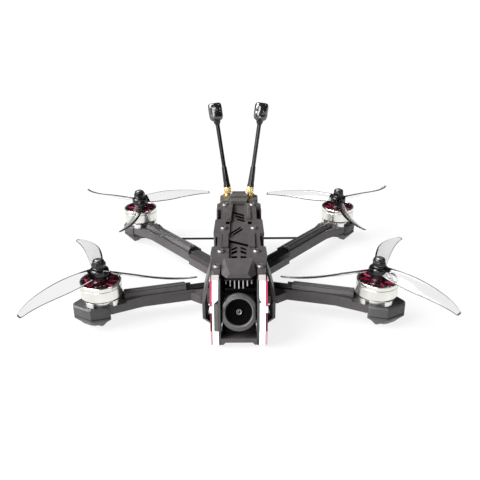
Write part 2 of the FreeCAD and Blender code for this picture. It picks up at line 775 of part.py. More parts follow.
def make_side_guard():
    """Bent plate that stands off the cheek; its front edge leans back at the top."""
    wall = dim("guard_thickness")
    outer = [(18.1, 47.5), (21.4, 37.0), (23.2, 29.5), (23.2, 17.5), (18.1, 7.5)]
    inner = [(x - wall if 0 < index < 4 else x, z) for index, (x, z) in enumerate(outer)]
    inner[0] = (18.1, 44.0)
    inner[4] = (18.1, 10.6)
    body = new_body("left_guard")
    padded(body, "XZ_Plane", "72", "26", outer + list(reversed(inner)))
    sketch = new_sketch(body, "YZ_Plane", "30")
    add_polygon(sketch, [(-99.0, 60.0), (-76.0, 60.0), (-84.0, 48.0), (-97.9, 29.5), (-99.0, 29.5)])
    add_pocket(body, sketch, "20")
    sketch = new_sketch(body, "YZ_Plane", "30")
    add_polygon(sketch, [(-99.0, 0.0), (-71.0, 0.0), (-71.0, 24.0), (-80.0, 12.0), (-90.0, 9.0),
                         (-97.9, 17.5), (-99.0, 17.5)])
    add_pocket(body, sketch, "20")
    both_sides("side_guard_{side}", body)


def make_nose_crossbar():
    """Low bar that ties the cheeks together, with a tray under the camera behind it."""
    half = dim("cheek_inner")
    body = new_body("nose_crossbar")
    profile = symmetric([(half, 7.2), (half, 2.6), (10.0, 2.6), (8.6, 4.2)])
    padded(body, "XZ_Plane", "100.2", "5.6", profile)
    tray = [(-100.6, 4.3), (-100.6, 6.0), (-89.0, 6.6), (-80.5, 7.4), (-80.5, 5.7), (-89.0, 4.9)]
    padded(body, "YZ_Plane", "-10.4", "20.8", tray)
    wide_front = [(-100.6, 4.3), (-100.6, 6.0), (-89.0, 6.6), (-89.0, 4.9)]
    padded(body, "YZ_Plane", "-11.4", "22.8", wide_front)
    publish(body, "nose_crossbar")


def hood_loft(inset, drop):
    """Faceted hood between a flat lower outline and a sloping upper outline."""
    def top_height(y):
        return 53.0 + (y + 84.0) * 3.2 / 16.0 - drop

    low = [(11.4 - inset, -82.1 - inset), (11.4 - inset, -92.6 + inset), (7.7 - inset, -98.9 + inset)]
    high = [(9.4 - inset, -83.5 - inset), (7.3 - inset, -92.0 + inset), (5.6 - inset, -99.4 + inset)]
    base = 46.6 - drop
    rings = []
    for outline, height in ((low, lambda y: base), (high, top_height)):
        points = [Vector(x, y, height(y)) for x, y in symmetric(outline)]
        rings.append(Part.makePolygon(points + [points[0]]))
    return Part.makeLoft(rings, True, True)


def make_front_visor():
    """Hood over the nose that holds the positioning module."""
    shape = hood_loft(0.0, 0.0).cut(hood_loft(1.4, 1.3))
    obj = doc.addObject("Part::Feature", "front_visor")
    obj.Shape = shape
    obj.Placement = Placement()
    publish(obj, "front_visor")


def make_gps_module():
    board = box("gps_board", (-5.6, 5.6), (-93.6, -84.4), (46.6, 47.4))
    patch = box("gps_patch", (-4.5, 4.5), (-93.0, -85.0), (47.4, 48.9))
    publish(fused("gps_module", [board, patch]), "gps_module")


def make_air_unit():
    """Video transmitter in a finned metal housing."""
    case = box("air_case", (-10.8, 10.8), (-86.0, -65.5), (33.0, 44.6))
    fins = []
    for index in range(7):
        x = (index - 3) * 2.9
        fins.append(box(f"fin_{index}", (x - 0.55, x + 0.55), (-88.4, -85.0), (33.6, 44.0)))
    publish(fused("air_unit", [case] + fins), "air_unit")


# ------------------------------------------------------------------ the camera

def at_pivot(obj):
    """Turn a camera piece up to its resting tilt about the pivot."""
    turn = Rotation(Vector(1, 0, 0), -dim("camera_tilt"))
    obj.Placement = Placement(Vector(0, dim("pivot_y"), dim("pivot_z")), turn)


def make_camera():
    half = dim("camera_half")
    housing = new_body("camera_housing")
    side = symmetric([(half, 8.5), (half, -6.5), (half - 2.0, -8.5)])
    padded(housing, "XZ_Plane", "-9", "13.6", side)
    sketch = new_sketch(housing, "XZ_Plane", "4.6")
    add_circle(sketch, 0, 0, 8.8)
    add_pad(housing, sketch, "1.6")
    for direction in (1, -1):
        sketch = new_sketch(housing, "YZ_Plane", f"{direction} * (dims.camera_half + 0.1)")
        add_circle(sketch, 0, 0, dim("screw_radius"))
        pocket = housing.newObject("PartDesign::Pocket", "pivot_hole")
        pocket.Profile = sketch
        pocket.Length = 4.1
        pocket.Reversed = direction < 0
        doc.recompute()
    at_pivot(housing)
    publish(housing, "camera_housing")

    ring = new_body("lens_ring")
    radius, flat = dim("lens_ring_radius"), dim("lens_ring_half_flat")
    lift = math.sqrt(radius ** 2 - flat ** 2)
    sketch = new_sketch(ring, "XZ_Plane", "6.2")
    for sign in (1, -1):
        sketch.addGeometry(Part.Arc(Vector(flat, sign * lift, 0), Vector(0, sign * radius, 0),
                                    Vector(-flat, sign * lift, 0)), False)
        sketch.addGeometry(Part.LineSegment(Vector(sign * flat, -lift, 0),
                                            Vector(sign * flat, lift, 0)), False)
    add_circle(sketch, 0, 0, dim("lens_radius"))
    add_pad(ring, sketch, "4.5")
    at_pivot(ring)
    publish(ring, "lens_ring")

    glass = new_body("lens_glass")
    radius = dim("lens_radius")
    sketch = new_sketch(glass, "XZ_Plane", "6.2")
    add_circle(sketch, 0, 0, radius)
    add_pad(glass, sketch, "2.2")
    sketch = new_sketch(glass, "XZ_Plane", "8.4")
    add_circle(sketch, 0, 0, radius - 1.6)
    add_pad(glass, sketch, "1.2", taper=-30.0)
    at_pivot(glass)
    publish(glass, "lens_glass")

    screws = []
    for index, sign in enumerate((1, -1)):
        start = Vector(sign * (half - 3.5), dim("pivot_y"), dim("pivot_z"))
        out = Vector(sign, 0, 0)
        reach = dim("body_half") + 0.15 - (half - 3.5)
        shank = cylinder(f"pivot_shank_{index}", "dims.screw_radius", reach, start, out)
        cap = cylinder(f"pivot_cap_{index}", "dims.screw_head_radius", 1.6, start + out * reach, out)
        screws.append(fused(f"pivot_screw_{index}", [shank, cap]))
    publish(group("camera_screws", screws), "camera_screws")


# --------------------------------------------------------------- the electronics

def stack_corners():
    return [(sx * STACK_SCREW, STACK_CENTRE + sy * STACK_SCREW) for sx in (1, -1) for sy in (1, -1)]


def make_board(name, level, chips):
    """Circuit board with its larger components."""
    reach = 16.0
    outline = [(reach, STACK_CENTRE + reach), (reach, STACK_CENTRE - reach),
               (-reach, STACK_CENTRE - reach), (-reach, STACK_CENTRE + reach)]
    holes = [(x, y, dim("screw_radius")) for x, y in stack_corners()]
    body = new_body(name)
    padded(body, "XY_Plane", str(level), "1.6", outline, holes)
    for x, y, width, depth, height in chips:
        chip = [(x - width / 2, y - depth / 2), (x + width / 2, y - depth / 2),
                (x + width / 2, y + depth / 2), (x - width / 2, y + depth / 2)]
        padded(body, "XY_Plane", str(level + 1.6), str(height), chip)
    publish(body, name)


def make_electronics():
    drivers = [(side * 12.5, STACK_CENTRE + y, 5.0, 5.0, 1.2) for side in (1, -1) for y in (-4.0, 4.0)]
    drivers.append((0.0, STACK_CENTRE, 8.0, 8.0, 1.0))
    make_board("esc_board", 23.0, drivers)
    sensors = [(0.0, STACK_CENTRE, 7.0, 7.0, 1.2), (-10.0, STACK_CENTRE, 5.0, 4.0, 1.0),
               (12.0, STACK_CENTRE, 7.0, 8.0, 3.0)]
    make_board("flight_controller", 30.5, sensors)
    mid_bottom = dim("arm_bottom") + dim("arm_height")
    screws = []
    for index, (x, y) in enumerate(stack_corners()):
        shank = cylinder(f"stack_shank_{index}", "dims.screw_radius", 18.2, Vector(x, y, mid_bottom))
        nut = cylinder(f"stack_nut_{index}", "dims.standoff_radius", 2.1, Vector(x, y, 32.1))
        damper = cylinder(f"stack_damper_{index}", "dims.standoff_radius", 5.9, Vector(x, y, 24.6))
        foot = cylinder(f"stack_foot_{index}", "dims.standoff_radius", 5.0, Vector(x, y, 18.0))
        screws.append(fused(f"stack_screw_{index}", [shank, nut, damper, foot]))
    publish(group("stack_screws", screws), "stack_screws")


# -------------------------------------------------------------------- the tail

def make_tail_mount():
    """Printed block that carries the antennas, the power socket and the receiver antenna."""
    front, rear = dim("tail_front"), dim("tail_rear")
    body = new_body("tail_mount")
    block = symmetric([(13.0, rear), (15.5, rear - 3), (15.5, front + 2.5), (13.5, front)])
    padded(body, "XY_Plane", "dims.arm_bottom + dims.arm_height", "32.7", block)
    tongue = [(-6.4, 30.6), (6.4, 30.6), (7.4, 38.0), (-7.4, 38.0)]
    padded(body, "XY_Plane", "dims.deck_bottom + dims.deck_height", "2.4", tongue)
    sketch = new_sketch(body, "XZ_Plane", f"{-(rear - 2)}")
    add_polygon(sketch, [(-9.0, 48.7), (9.0, 48.7), (6.9, 52.2), (-6.9, 52.2)])
    add_pad(body, sketch, f"{rear - front - 4}")
    clip = [(-7.0, 43.0), (7.0, 43.0), (7.0, rear), (-7.0, rear)]
    padded(body, "XY_Plane", "6.5", "dims.arm_bottom + dims.arm_height - 6.5", clip)
    pocketed(body, "XY_Plane", "30", "12.5", [[(-11.6, 36.0), (11.6, 36.0), (11.6, 40.5),
                                               (-11.6, 40.5)]])
    sketch = new_sketch(body, "YZ_Plane", "20")
    add_circle(sketch, 48.0, 10.0, 0.9)
    add_pocket(body, sketch, "40")
    for radius, top, depth in ((4.6, 53.0, 4.3), (2.4, 51.0, 9.0)):
        for side in (1, -1):
            sketch = new_sketch(body, "XY_Plane", str(top))
            add_circle(sketch, side * dim("antenna_x"), dim("antenna_y"), radius)
            add_pocket(body, sketch, str(depth))
    sketch = new_sketch(body, "XZ_Plane", f"{-(rear + 1)}")
    add_polygon(sketch, [(-8.1, 22.0), (8.1, 22.0), (8.1, 30.2), (-8.1, 30.2)])
    socket = body.newObject("PartDesign::Pocket", "socket_recess")
    socket.Profile = sketch
    socket.Length = 9.0
    socket.Reversed = True
    doc.recompute()
    publish(body, "tail_mount")


def make_power_socket():
    """Two-pole battery socket that faces the tail."""
    body = new_body("power_socket")
    profile = [(-8.0, 22.1), (5.2, 22.1), (8.0, 24.9), (8.0, 27.3), (5.2, 30.1), (-8.0, 30.1)]
    sketch = new_sketch(body, "XZ_Plane", "-60")
    add_polygon(sketch, profile)
    for x in (-3.6, 3.6):
        add_circle(sketch, x, 26.1, 1.8)
    add_pad(body, sketch, "15.9")
    publish(body, "power_socket")


def antenna_axis(side):
    base = Vector(side * dim("antenna_x"), dim("antenna_y"), dim("antenna_base"))
    head = Vector(side * 18.5, 59.5, 117.5)
    return base, (head - base).normalize()


def make_connectors():
    """Threaded brass connectors, from the tail block up to the antennas."""
    pieces = []
    for index, side in enumerate((1, -1)):
        base, axis = antenna_axis(side)
        foot = Vector(base.x, base.y, 42.2)
        stem = cylinder(f"sma_stem_{index}", "2.4", 11.5, foot)
        nut = cylinder(f"sma_nut_{index}", "3.6", 1.6, Vector(base.x, base.y, 48.7))
        barrel = cylinder(f"sma_barrel_{index}", "3.1", 5.2, base - axis * 5.2, axis)
        pieces.append(fused(f"sma_{index}", [stem, nut, barrel]))
    publish(group("sma_connectors", pieces), "sma_connectors")


def make_antennas():
    stems, heads = [], []
    for index, side in enumerate((1, -1)):
        base, axis = antenna_axis(side)
        boot = doc.addObject("Part::Cone", f"boot_{index}")
        boot.setExpression("Radius1", "dims.antenna_boot_radius + 0.3")
        boot.setExpression("Radius2", "dims.antenna_stem_radius + 0.4")
        boot.Height = 17.0
        boot.Placement = Placement(base, Rotation(Vector(0, 0, 1), axis))
        stem = cylinder(f"stem_{index}", "dims.antenna_stem_radius", 54.0, base, axis)
        stems.append(fused(f"antenna_stem_{index}", [boot, stem]))
        head = new_body(f"head_{index}")
        outline = symmetric([(4.0, 4.2), (5.7, 2.5), (5.7, -2.5), (4.0, -4.2)])
        padded(head, "XY_Plane", "1.8", "1.8", outline, reverse=True, taper=-40)
        padded(head, "XY_Plane", "1.8", "11.6", outline)
        padded(head, "XY_Plane", "13.4", "1.2", outline, taper=-45)
        body_turn = Rotation(Vector(0, 0, 1), axis)
        head.Placement = Placement(base + axis * 54.0, body_turn)
        heads.append(head)
    publish(group("video_antennas", stems), "video_antennas")
    publish(group("antenna_heads", heads), "antenna_heads")


def make_receiver_antenna():
    length = dim("receiver_antenna_length")
    obj = cylinder("receiver_antenna", "0.9", length, Vector(-length / 2, 48.0, 10.0),
                   Vector(1, 0, 0))
    publish(obj, "receiver_antenna")


# -------------------------------------------------------------------- assembly

# Corner: end, side, turn seen from above (1 is left-hand) and the angle of one blade tip.
CORNERS = {
    "front_left": ("front", 1, 1, -56.3),
    "front_right": ("front", -1, -1, 236.3),
    "rear_left": ("rear", 1, -1, 39.8),
    "rear_right": ("rear", -1, 1, 145.0),
}


def make_motor_units():
    stators, bearings, screws = [], [], []
    for corner, (end, side, spin, tip_angle) in CORNERS.items():
        publish(make_motor_base(end, side, corner + "_motor_base"), corner + "_motor_base")
        publish(make_motor_bell(end, side, corner + "_motor_bell"), corner + "_motor_bell")
        publish(make_propeller(end, side, spin, tip_angle, corner + "_propeller"),
                corner + "_propeller")
        publish(make_prop_nut(end, side, corner + "_prop_nut"), corner + "_prop_nut")
        stators.append(make_stator(end, side))
        bearings += make_bearings(end, side)
        screws += make_motor_screws(end, side)
    publish(group("motor_stators", stators), "motor_stators")
    publish(group("motor_bearings", bearings), "motor_bearings")
    publish(group("motor_screws", screws), "motor_screws")


def make_arms():
    front = make_arm("front", front_arm_outline(), [DECK_SCREWS[1], ROOT_SCREW], 62)
    rear = make_arm("rear", rear_arm_outline(), [DECK_SCREWS[2]], 82)
    make_bumper("front", front)
    make_bumper("rear", rear)
    covers = make_cover("front", 14.8, 57.6) + make_cover("rear", 15.2, 80.0)
    publish(group("arm_covers", covers), "arm_covers")
    wires = make_wires("front", 13.6, 80.0) + make_wires("rear", 13.6, 113.0)
    publish(group("motor_wires", wires), "motor_wires")


def check_document():
    """Stop if any object failed or any sub-part is empty or invalid."""
    for obj in doc.Objects:
        if "Invalid" in obj.State or "Error" in obj.State:
            raise RuntimeError(f"{obj.Label} did not compute: {obj.State}")
    for obj in nodes:
        shape = obj.Shape
        if shape.isNull() or not shape.isValid() or shape.Volume <= 0:
            raise RuntimeError(f"{obj.Label} has no valid solid")


def export_nodes():
    os.makedirs("parts", exist_ok=True)
    for obj in nodes:
        obj.Shape.exportStep(f"parts/{obj.Label}.step")
        print(f"{obj.Label}: {len(obj.Shape.Solids)} solids, {obj.Shape.Volume:.0f} mm3")


make_arms()
make_motor_units()
make_bottom_plate()
make_mid_plate()
make_top_plate()
make_landing_pad()
make_standoffs()
make_frame_screws()
make_side_panel()
make_cheek()
make_lights()
make_side_guard()
make_nose_crossbar()
make_front_visor()
make_gps_module()
make_air_unit()
make_camera()
make_electronics()
make_tail_mount()
make_power_socket()
make_connectors()
make_antennas()
make_receiver_antenna()
doc.recompute()
check_document()
export_nodes()
print(len(nodes), "nodes")
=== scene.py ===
"""Looks of the racing drone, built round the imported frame.

The nose points to -Y, the drone's left side is +X and +Z is up. Shapes are written in
millimetres and scaled to metres when a piece is made.
"""
import json
import math

import bmesh
import bpy
from mathutils import Matrix, Vector


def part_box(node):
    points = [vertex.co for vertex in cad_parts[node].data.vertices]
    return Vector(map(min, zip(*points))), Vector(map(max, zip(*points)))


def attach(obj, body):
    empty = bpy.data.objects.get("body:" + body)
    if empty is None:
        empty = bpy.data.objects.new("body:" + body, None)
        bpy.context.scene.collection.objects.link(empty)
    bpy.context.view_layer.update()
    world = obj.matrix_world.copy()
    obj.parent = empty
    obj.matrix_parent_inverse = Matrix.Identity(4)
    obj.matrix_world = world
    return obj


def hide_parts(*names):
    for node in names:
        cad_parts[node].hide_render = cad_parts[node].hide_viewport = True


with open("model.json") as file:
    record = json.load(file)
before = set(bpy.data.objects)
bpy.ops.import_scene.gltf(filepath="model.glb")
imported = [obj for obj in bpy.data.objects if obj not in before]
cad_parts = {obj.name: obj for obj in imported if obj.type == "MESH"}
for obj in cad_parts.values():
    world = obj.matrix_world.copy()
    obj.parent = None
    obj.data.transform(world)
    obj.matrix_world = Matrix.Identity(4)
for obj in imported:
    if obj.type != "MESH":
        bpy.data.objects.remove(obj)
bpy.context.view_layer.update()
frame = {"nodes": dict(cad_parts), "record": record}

MM = 0.001
CORNERS = ("front_left", "front_right", "rear_left", "rear_right")
NODES = frame["nodes"]

# Camera: place in metres, then angles in degrees.
CAMERA_PLACE = (0.00162, -0.43631, 0.21943)
CAMERA_PITCH, CAMERA_YAW, CAMERA_ROLL = 23.54, -0.112, -0.404
CAMERA_LENS = 45.9
CAMERA_SENSOR = 36.0

# World light: how fast it grows towards the back and the drone's right, and what it starts from.
LIGHT_BEHIND = (0.85, 0.12)
LIGHT_RIGHT = (-0.45, 0.05)
AMBIENT = 0.22
WHITE_BACKDROP = 20.0    # the background's own colour is a 5% grey
FLOOR_REACH = 8.0
FLOOR_DROP = 0.0002      # keeps the table clear of what stands on it

# Levels and places in millimetres.
DECK_BOTTOM, CHANNEL_FLOOR, DECK_TOP = 45.0, 46.2, 48.0
COVER_TOP = 20.4
STATOR_LOW, STATOR_HIGH, STATOR_MIDDLE = 22.9, 27.9, 25.4
ANTENNA_FOOT = (9.7, 48.0)
ANTENNA_BASE, ANTENNA_TIP = (9.7, 48.0, 57.0), (18.5, 59.5, 117.5)
SOCKET_MIDDLE = 26.1

# How CAD nodes are welded, flattened and rounded: metres, degrees, millimetres, degrees.
WELD_REACH, FLAT_ANGLE = 0.00001, 1.0
EDGE_ROUNDING, EDGE_ANGLE = 0.3, 32.0


# ------------------------------------------------------------------ node tools

def new_node(tree, kind, **values):
    """A new node in a material's or the world's tree, with its settings."""
    made = tree.nodes.new(kind)
    for key, value in values.items():
        setattr(made, key, value)
    return made


class Shader:
    """One procedural material; every texture reads object coordinates, which are metres."""

    def __init__(self, name, color, roughness, metallic=0.0):
        self.material = bpy.data.materials.new(name)
        self.material.use_nodes = True
        self.tree = self.material.node_tree
        self.bsdf = self.tree.nodes["Principled BSDF"]
        self.color = tuple(color) + (1.0,)
        self.bsdf.inputs["Base Color"].default_value = self.color
        self.bsdf.inputs["Roughness"].default_value = roughness
        self.bsdf.inputs["Metallic"].default_value = metallic
        self.place = self.node("ShaderNodeTexCoord").outputs["Object"]

    def node(self, kind, **values):
        return new_node(self.tree, kind, **values)

    def link(self, output, target):
        self.tree.links.new(output, target)

    def set(self, **values):
        """Values on the shader's own sockets."""
        for key, value in values.items():
            self.bsdf.inputs[key.replace("_", " ")].default_value = value

    def stretch(self, scale):
        """Object coordinates, scaled along each axis."""
        mapping = self.node("ShaderNodeMapping")
        mapping.inputs["Scale"].default_value = scale
        self.link(self.place, mapping.inputs["Vector"])
        return mapping.outputs["Vector"]

    def noise(self, scale, detail=3.0, stretch=None):
        """Noise between 0 and 1; the scale counts its cells in a metre."""
        made = self.node("ShaderNodeTexNoise")
        made.inputs["Scale"].default_value = scale
        made.inputs["Detail"].default_value = detail
        self.link(self.stretch(stretch) if stretch else self.place, made.inputs["Vector"])
        return made.outputs["Fac"]

    def ramp(self, factor, stops):
        """Colours along a factor, from stops of position and colour."""
        made = self.node("ShaderNodeValToRGB")
        while len(made.color_ramp.elements) < len(stops):
            made.color_ramp.elements.new(0.5)
        for element, (position, value) in zip(made.color_ramp.elements, stops):
            element.position = position
            element.color = tuple(value) + (1.0,)
        self.link(factor, made.inputs["Fac"])
        return made.outputs["Color"]

    def grey_ramp(self, factor, low, high):
        """Grey from low to high, over the middle of the factor's range."""
        return self.ramp(factor, [(0.35, (low,) * 3), (0.65, (high,) * 3)])

    def vary_color(self, factor, spread):
        """Base colour between darker and lighter by the spread."""
        low = [c * (1 - spread) for c in self.color[:3]]
        high = [min(1.0, c * (1 + spread)) for c in self.color[:3]]
        self.link(self.ramp(factor, [(0.3, low), (0.7, high)]), self.bsdf.inputs["Base Color"])

    def vary_roughness(self, factor, low, high):
        self.link(self.grey_ramp(factor, low, high), self.bsdf.inputs["Roughness"])

    def bump(self, height, depth, strength=1.0):
        """Bump of a given depth in metres."""
        made = self.node("ShaderNodeBump")
        made.inputs["Strength"].default_value = strength
        made.inputs["Distance"].default_value = depth
        self.link(height, made.inputs["Height"])
        self.link(made.outputs["Normal"], self.bsdf.inputs["Normal"])


def moulded(name, color, roughness, grain=2600.0, depth=0.00004):
    """Moulded plastic: fine grain, faint mottling and uneven gloss."""
    made = Shader(name, color, roughness)
    made.vary_color(made.noise(160.0, 4.0), 0.12)
    made.vary_roughness(made.noise(420.0, 3.0), roughness - 0.07, roughness + 0.09)
    made.bump(made.noise(grain, 2.0), depth)
    return made.material


def printed(name, color, roughness):
    """Soft printed plastic: fine level lines, one print layer apart."""
    made = Shader(name, color, roughness)
    made.vary_color(made.noise(200.0, 4.0), 0.12)
    made.vary_roughness(made.noise(500.0, 3.0), roughness - 0.06, roughness + 0.08)
    lines = made.node("ShaderNodeTexWave", wave_type="BANDS", bands_direction="Z")
    lines.inputs["Scale"].default_value = 1300.0
    lines.inputs["Distortion"].default_value = 0.3
    made.link(made.place, lines.inputs["Vector"])
    made.bump(lines.outputs["Fac"], 0.00004)
    return made.material


def carbon():
    """Woven carbon plate: a twill of two crossed waves under a satin clear coat."""
    made = Shader("carbon_weave", (0.018, 0.018, 0.019), 0.36)
    waves = []
    for axis in ("X", "Y"):
        wave = made.node("ShaderNodeTexWave", wave_type="BANDS", bands_direction=axis)
        wave.inputs["Scale"].default_value = 160.0
        wave.inputs["Distortion"].default_value = 0.4
        made.link(made.place, wave.inputs["Vector"])
        waves.append(wave.outputs["Fac"])
    product = made.node("ShaderNodeMath", operation="MULTIPLY")
    made.link(waves[0], product.inputs[0])
    made.link(waves[1], product.inputs[1])
    made.link(made.ramp(product.outputs[0], [(0.1, (0.010,) * 3), (0.8, (0.04,) * 3)]),
              made.bsdf.inputs["Base Color"])
    made.bump(product.outputs[0], 0.00003)
    made.set(Coat_Weight=0.4, Coat_Roughness=0.25)
    return made.material


def turned_metal(name, color, roughness, streak=(1.0, 1.0, 60.0), depth=0.00001, metallic=1.0):
    """Machined metal with fine turning marks along its axis."""
    made = Shader(name, color, roughness, metallic)
    made.vary_color(made.noise(90.0, 3.0), 0.06)
    made.vary_roughness(made.noise(700.0, 2.0, streak), roughness - 0.05, roughness + 0.08)
    made.bump(made.noise(1500.0, 1.0, streak), depth)
    return made.material


def smoked_clear(name, color, roughness=0.05):
    """Smoke-grey polycarbonate that light passes through."""
    made = Shader(name, color, roughness)
    made.set(Transmission_Weight=1.0, IOR=1.45)
    made.vary_roughness(made.noise(300.0, 3.0), roughness, roughness + 0.06)
    made.bump(made.noise(240.0, 2.0), 0.00003, 0.4)
    return made.material


def enamel_wire():
    """Red enamelled copper wire."""
    made = Shader("enamelled_wire", (0.3, 0.012, 0.04), 0.24)
    made.vary_color(made.noise(900.0, 3.0), 0.35)
    made.set(Coat_Weight=0.6, Coat_Roughness=0.12)
    made.bump(made.noise(2400.0, 1.0), 0.00001)
    return made.material


def light_surface(name, color, strength, roughness=0.4):
    """Frosted lens that is lit from inside."""
    made = Shader(name, color, roughness)
    made.vary_color(made.noise(260.0, 3.0), 0.05)
    made.vary_roughness(made.noise(500.0), roughness - 0.08, roughness + 0.08)
    made.bump(made.noise(1800.0), 0.00002)
    made.set(Emission_Color=tuple(color) + (1.0,), Emission_Strength=strength)
    return made.material


def circuit_board():
    """Black solder mask with faint copper runs."""
    made = Shader("solder_mask", (0.012, 0.016, 0.014), 0.38)
    brick = made.node("ShaderNodeTexBrick")
    brick.inputs["Scale"].default_value = 700.0
    brick.inputs["Mortar Size"].default_value = 0.03
    made.link(made.place, brick.inputs["Vector"])
    runs = [(0.0, (0.012, 0.016, 0.014)), (1.0, (0.04, 0.05, 0.04))]
    made.link(made.ramp(brick.outputs["Fac"], runs), made.bsdf.inputs["Base Color"])
    made.bump(brick.outputs["Fac"], 0.00002)
    made.vary_roughness(made.noise(600.0), 0.3, 0.45)
    return made.material


def foam():
    """Closed-cell foam."""
    made = Shader("foam", (0.016, 0.016, 0.017), 0.95)
    made.vary_color(made.noise(700.0, 5.0), 0.4)
    cells = made.node("ShaderNodeTexVoronoi")
    cells.inputs["Scale"].default_value = 1400.0
    made.link(made.place, cells.inputs["Vector"])
    made.bump(cells.outputs["Distance"], 0.0002)
    return made.material


def coated_glass():
    """Dark camera glass."""
    made = Shader("coated_glass", (0.003, 0.003, 0.004), 0.03)
    made.vary_color(made.noise(120.0), 0.3)
    made.vary_roughness(made.noise(90.0), 0.02, 0.05)
    made.set(IOR=1.55, Coat_Weight=0.5, Coat_Roughness=0.02)
    return made.material


def dull_black():
    """Baffle paint that hardly reflects."""
    made = Shader("matt_black", (0.002, 0.002, 0.002), 0.6)
    made.vary_color(made.noise(400.0), 0.3)
    made.vary_roughness(made.noise(600.0), 0.55, 0.7)
    made.set(Specular_IOR_Level=0.02)
    made.bump(made.noise(1800.0), 0.00002)
    return made.material


def lumpy_gloss():
    """Glossy black shell with shallow dents that catch the light."""
    made = Shader("antenna_shell", (0.012, 0.012, 0.013), 0.1)
    made.vary_color(made.noise(300.0), 0.3)
    made.vary_roughness(made.noise(200.0), 0.07, 0.16)
    made.set(IOR=1.9, Coat_Weight=0.8, Coat_Roughness=0.06)
    made.bump(made.noise(210.0, 1.0), 0.0012)
    return made.material


MATERIALS = {
    "moulded_frame": moulded("moulded_frame", (0.054, 0.048, 0.05), 0.44),
    "soft_plastic": printed("soft_plastic", (0.046, 0.044, 0.045), 0.42),
    "carbon_plate": carbon(),
    "foam": foam(),
    "motor_silver": turned_metal("satin_aluminium", (0.8, 0.8, 0.77), 0.28),
    "windings": enamel_wire(),
    "steel": turned_metal("steel", (0.21, 0.205, 0.2), 0.52, (1.0, 1.0, 1.0)),
    "nut_black": turned_metal("black_anodised", (0.02, 0.019, 0.02), 0.16, metallic=0.4),
    "smoked_clear": smoked_clear("smoked_polycarbonate", (0.9, 0.895, 0.9)),
    "wire_rubber": moulded("wire_rubber", (0.008, 0.008, 0.008), 0.36, 1200.0, 0.00003),
    "antenna_black": moulded("antenna_black", (0.008, 0.008, 0.009), 0.14, 1500.0, 0.00002),
    "connector_brass": turned_metal("brass", (0.9, 0.68, 0.34), 0.22, (1.0, 1.0, 30.0)),
    "socket_plastic": moulded("socket_plastic", (0.5, 0.32, 0.02), 0.4),
    "camera_metal": moulded("camera_metal", (0.02, 0.02, 0.021), 0.36, 2200.0, 0.00002),
    "lens_glass": coated_glass(),
    "light_diffuser": light_surface("frosted_diffuser", (0.9, 0.92, 0.93), 0.75),
    "light_trim": light_surface("crimson_lens", (0.33, 0.03, 0.075), 0.05, 0.34),
    "circuit_board": circuit_board(),
}
BELL_SILVER = turned_metal("bell_silver", (0.8, 0.8, 0.75), 0.2, (1.0, 1.0, 30.0))
BELL_CAP = turned_metal("dark_bell_cap", (0.04, 0.012, 0.02), 0.2, metallic=0.6)
BELL_ACCENT = turned_metal("crimson_anodised", (0.62, 0.02, 0.1), 0.3, metallic=0.5)
MAGNET = turned_metal("magnet_plate", (0.2, 0.2, 0.21), 0.3)
LAMINATION = turned_metal("stator_steel", (0.1, 0.1, 0.105), 0.42, (1.0, 1.0, 400.0))
GLOSS_BLACK = moulded("gloss_black", (0.005, 0.005, 0.006), 0.12, 900.0, 0.00001)
RING_GREY = moulded("ring_grey", (0.06, 0.0575, 0.058), 0.3, 2200.0, 0.00002)
# painted highlight: near-white fin tips in place of the light the air unit's fins reflect
FIN_PAINTED_HIGHLIGHT = turned_metal("fin_painted_highlight", (0.95, 0.94, 0.94), 0.45, (1.0, 1.0, 1.0), metallic=0.1)
BLADE_EDGE = smoked_clear("smoked_edge", (0.12, 0.115, 0.12), 0.08)
MATT_BLACK = dull_black()
HEAD_GLOSS = lumpy_gloss()
DEEP_TRIM = light_surface("deep_crimson", (0.1, 0.006, 0.016), 0.02, 0.36)
PALE_TRIM = light_surface("pale_crimson", (0.5, 0.28, 0.32), 0.16, 0.36)
TAIL_PLASTIC = printed("tail_plastic", (0.07, 0.068, 0.063), 0.46)
COVER_PLASTIC = printed("cover_plastic", (0.062, 0.059, 0.06), 0.34)
DARK_PLATE = moulded("dark_plate", (0.09, 0.089, 0.087), 0.4, 1600.0, 0.00002)
# painted reflection: pale grey for the light that the cheeks' angled tops reflect
CAP_PAINTED_SHEEN = moulded("cap_painted_sheen", (0.36, 0.33, 0.325), 0.42, 1600.0, 0.00002)
# painted highlight and painted reflection, on the camera ring's lip and round the lens centre
LENS_PAINTED_GLINT = moulded("lens_painted_glint", (0.16, 0.145, 0.15), 0.3, 1200.0, 0.00001)


# ----------------------------------------------------------------- mesh tools

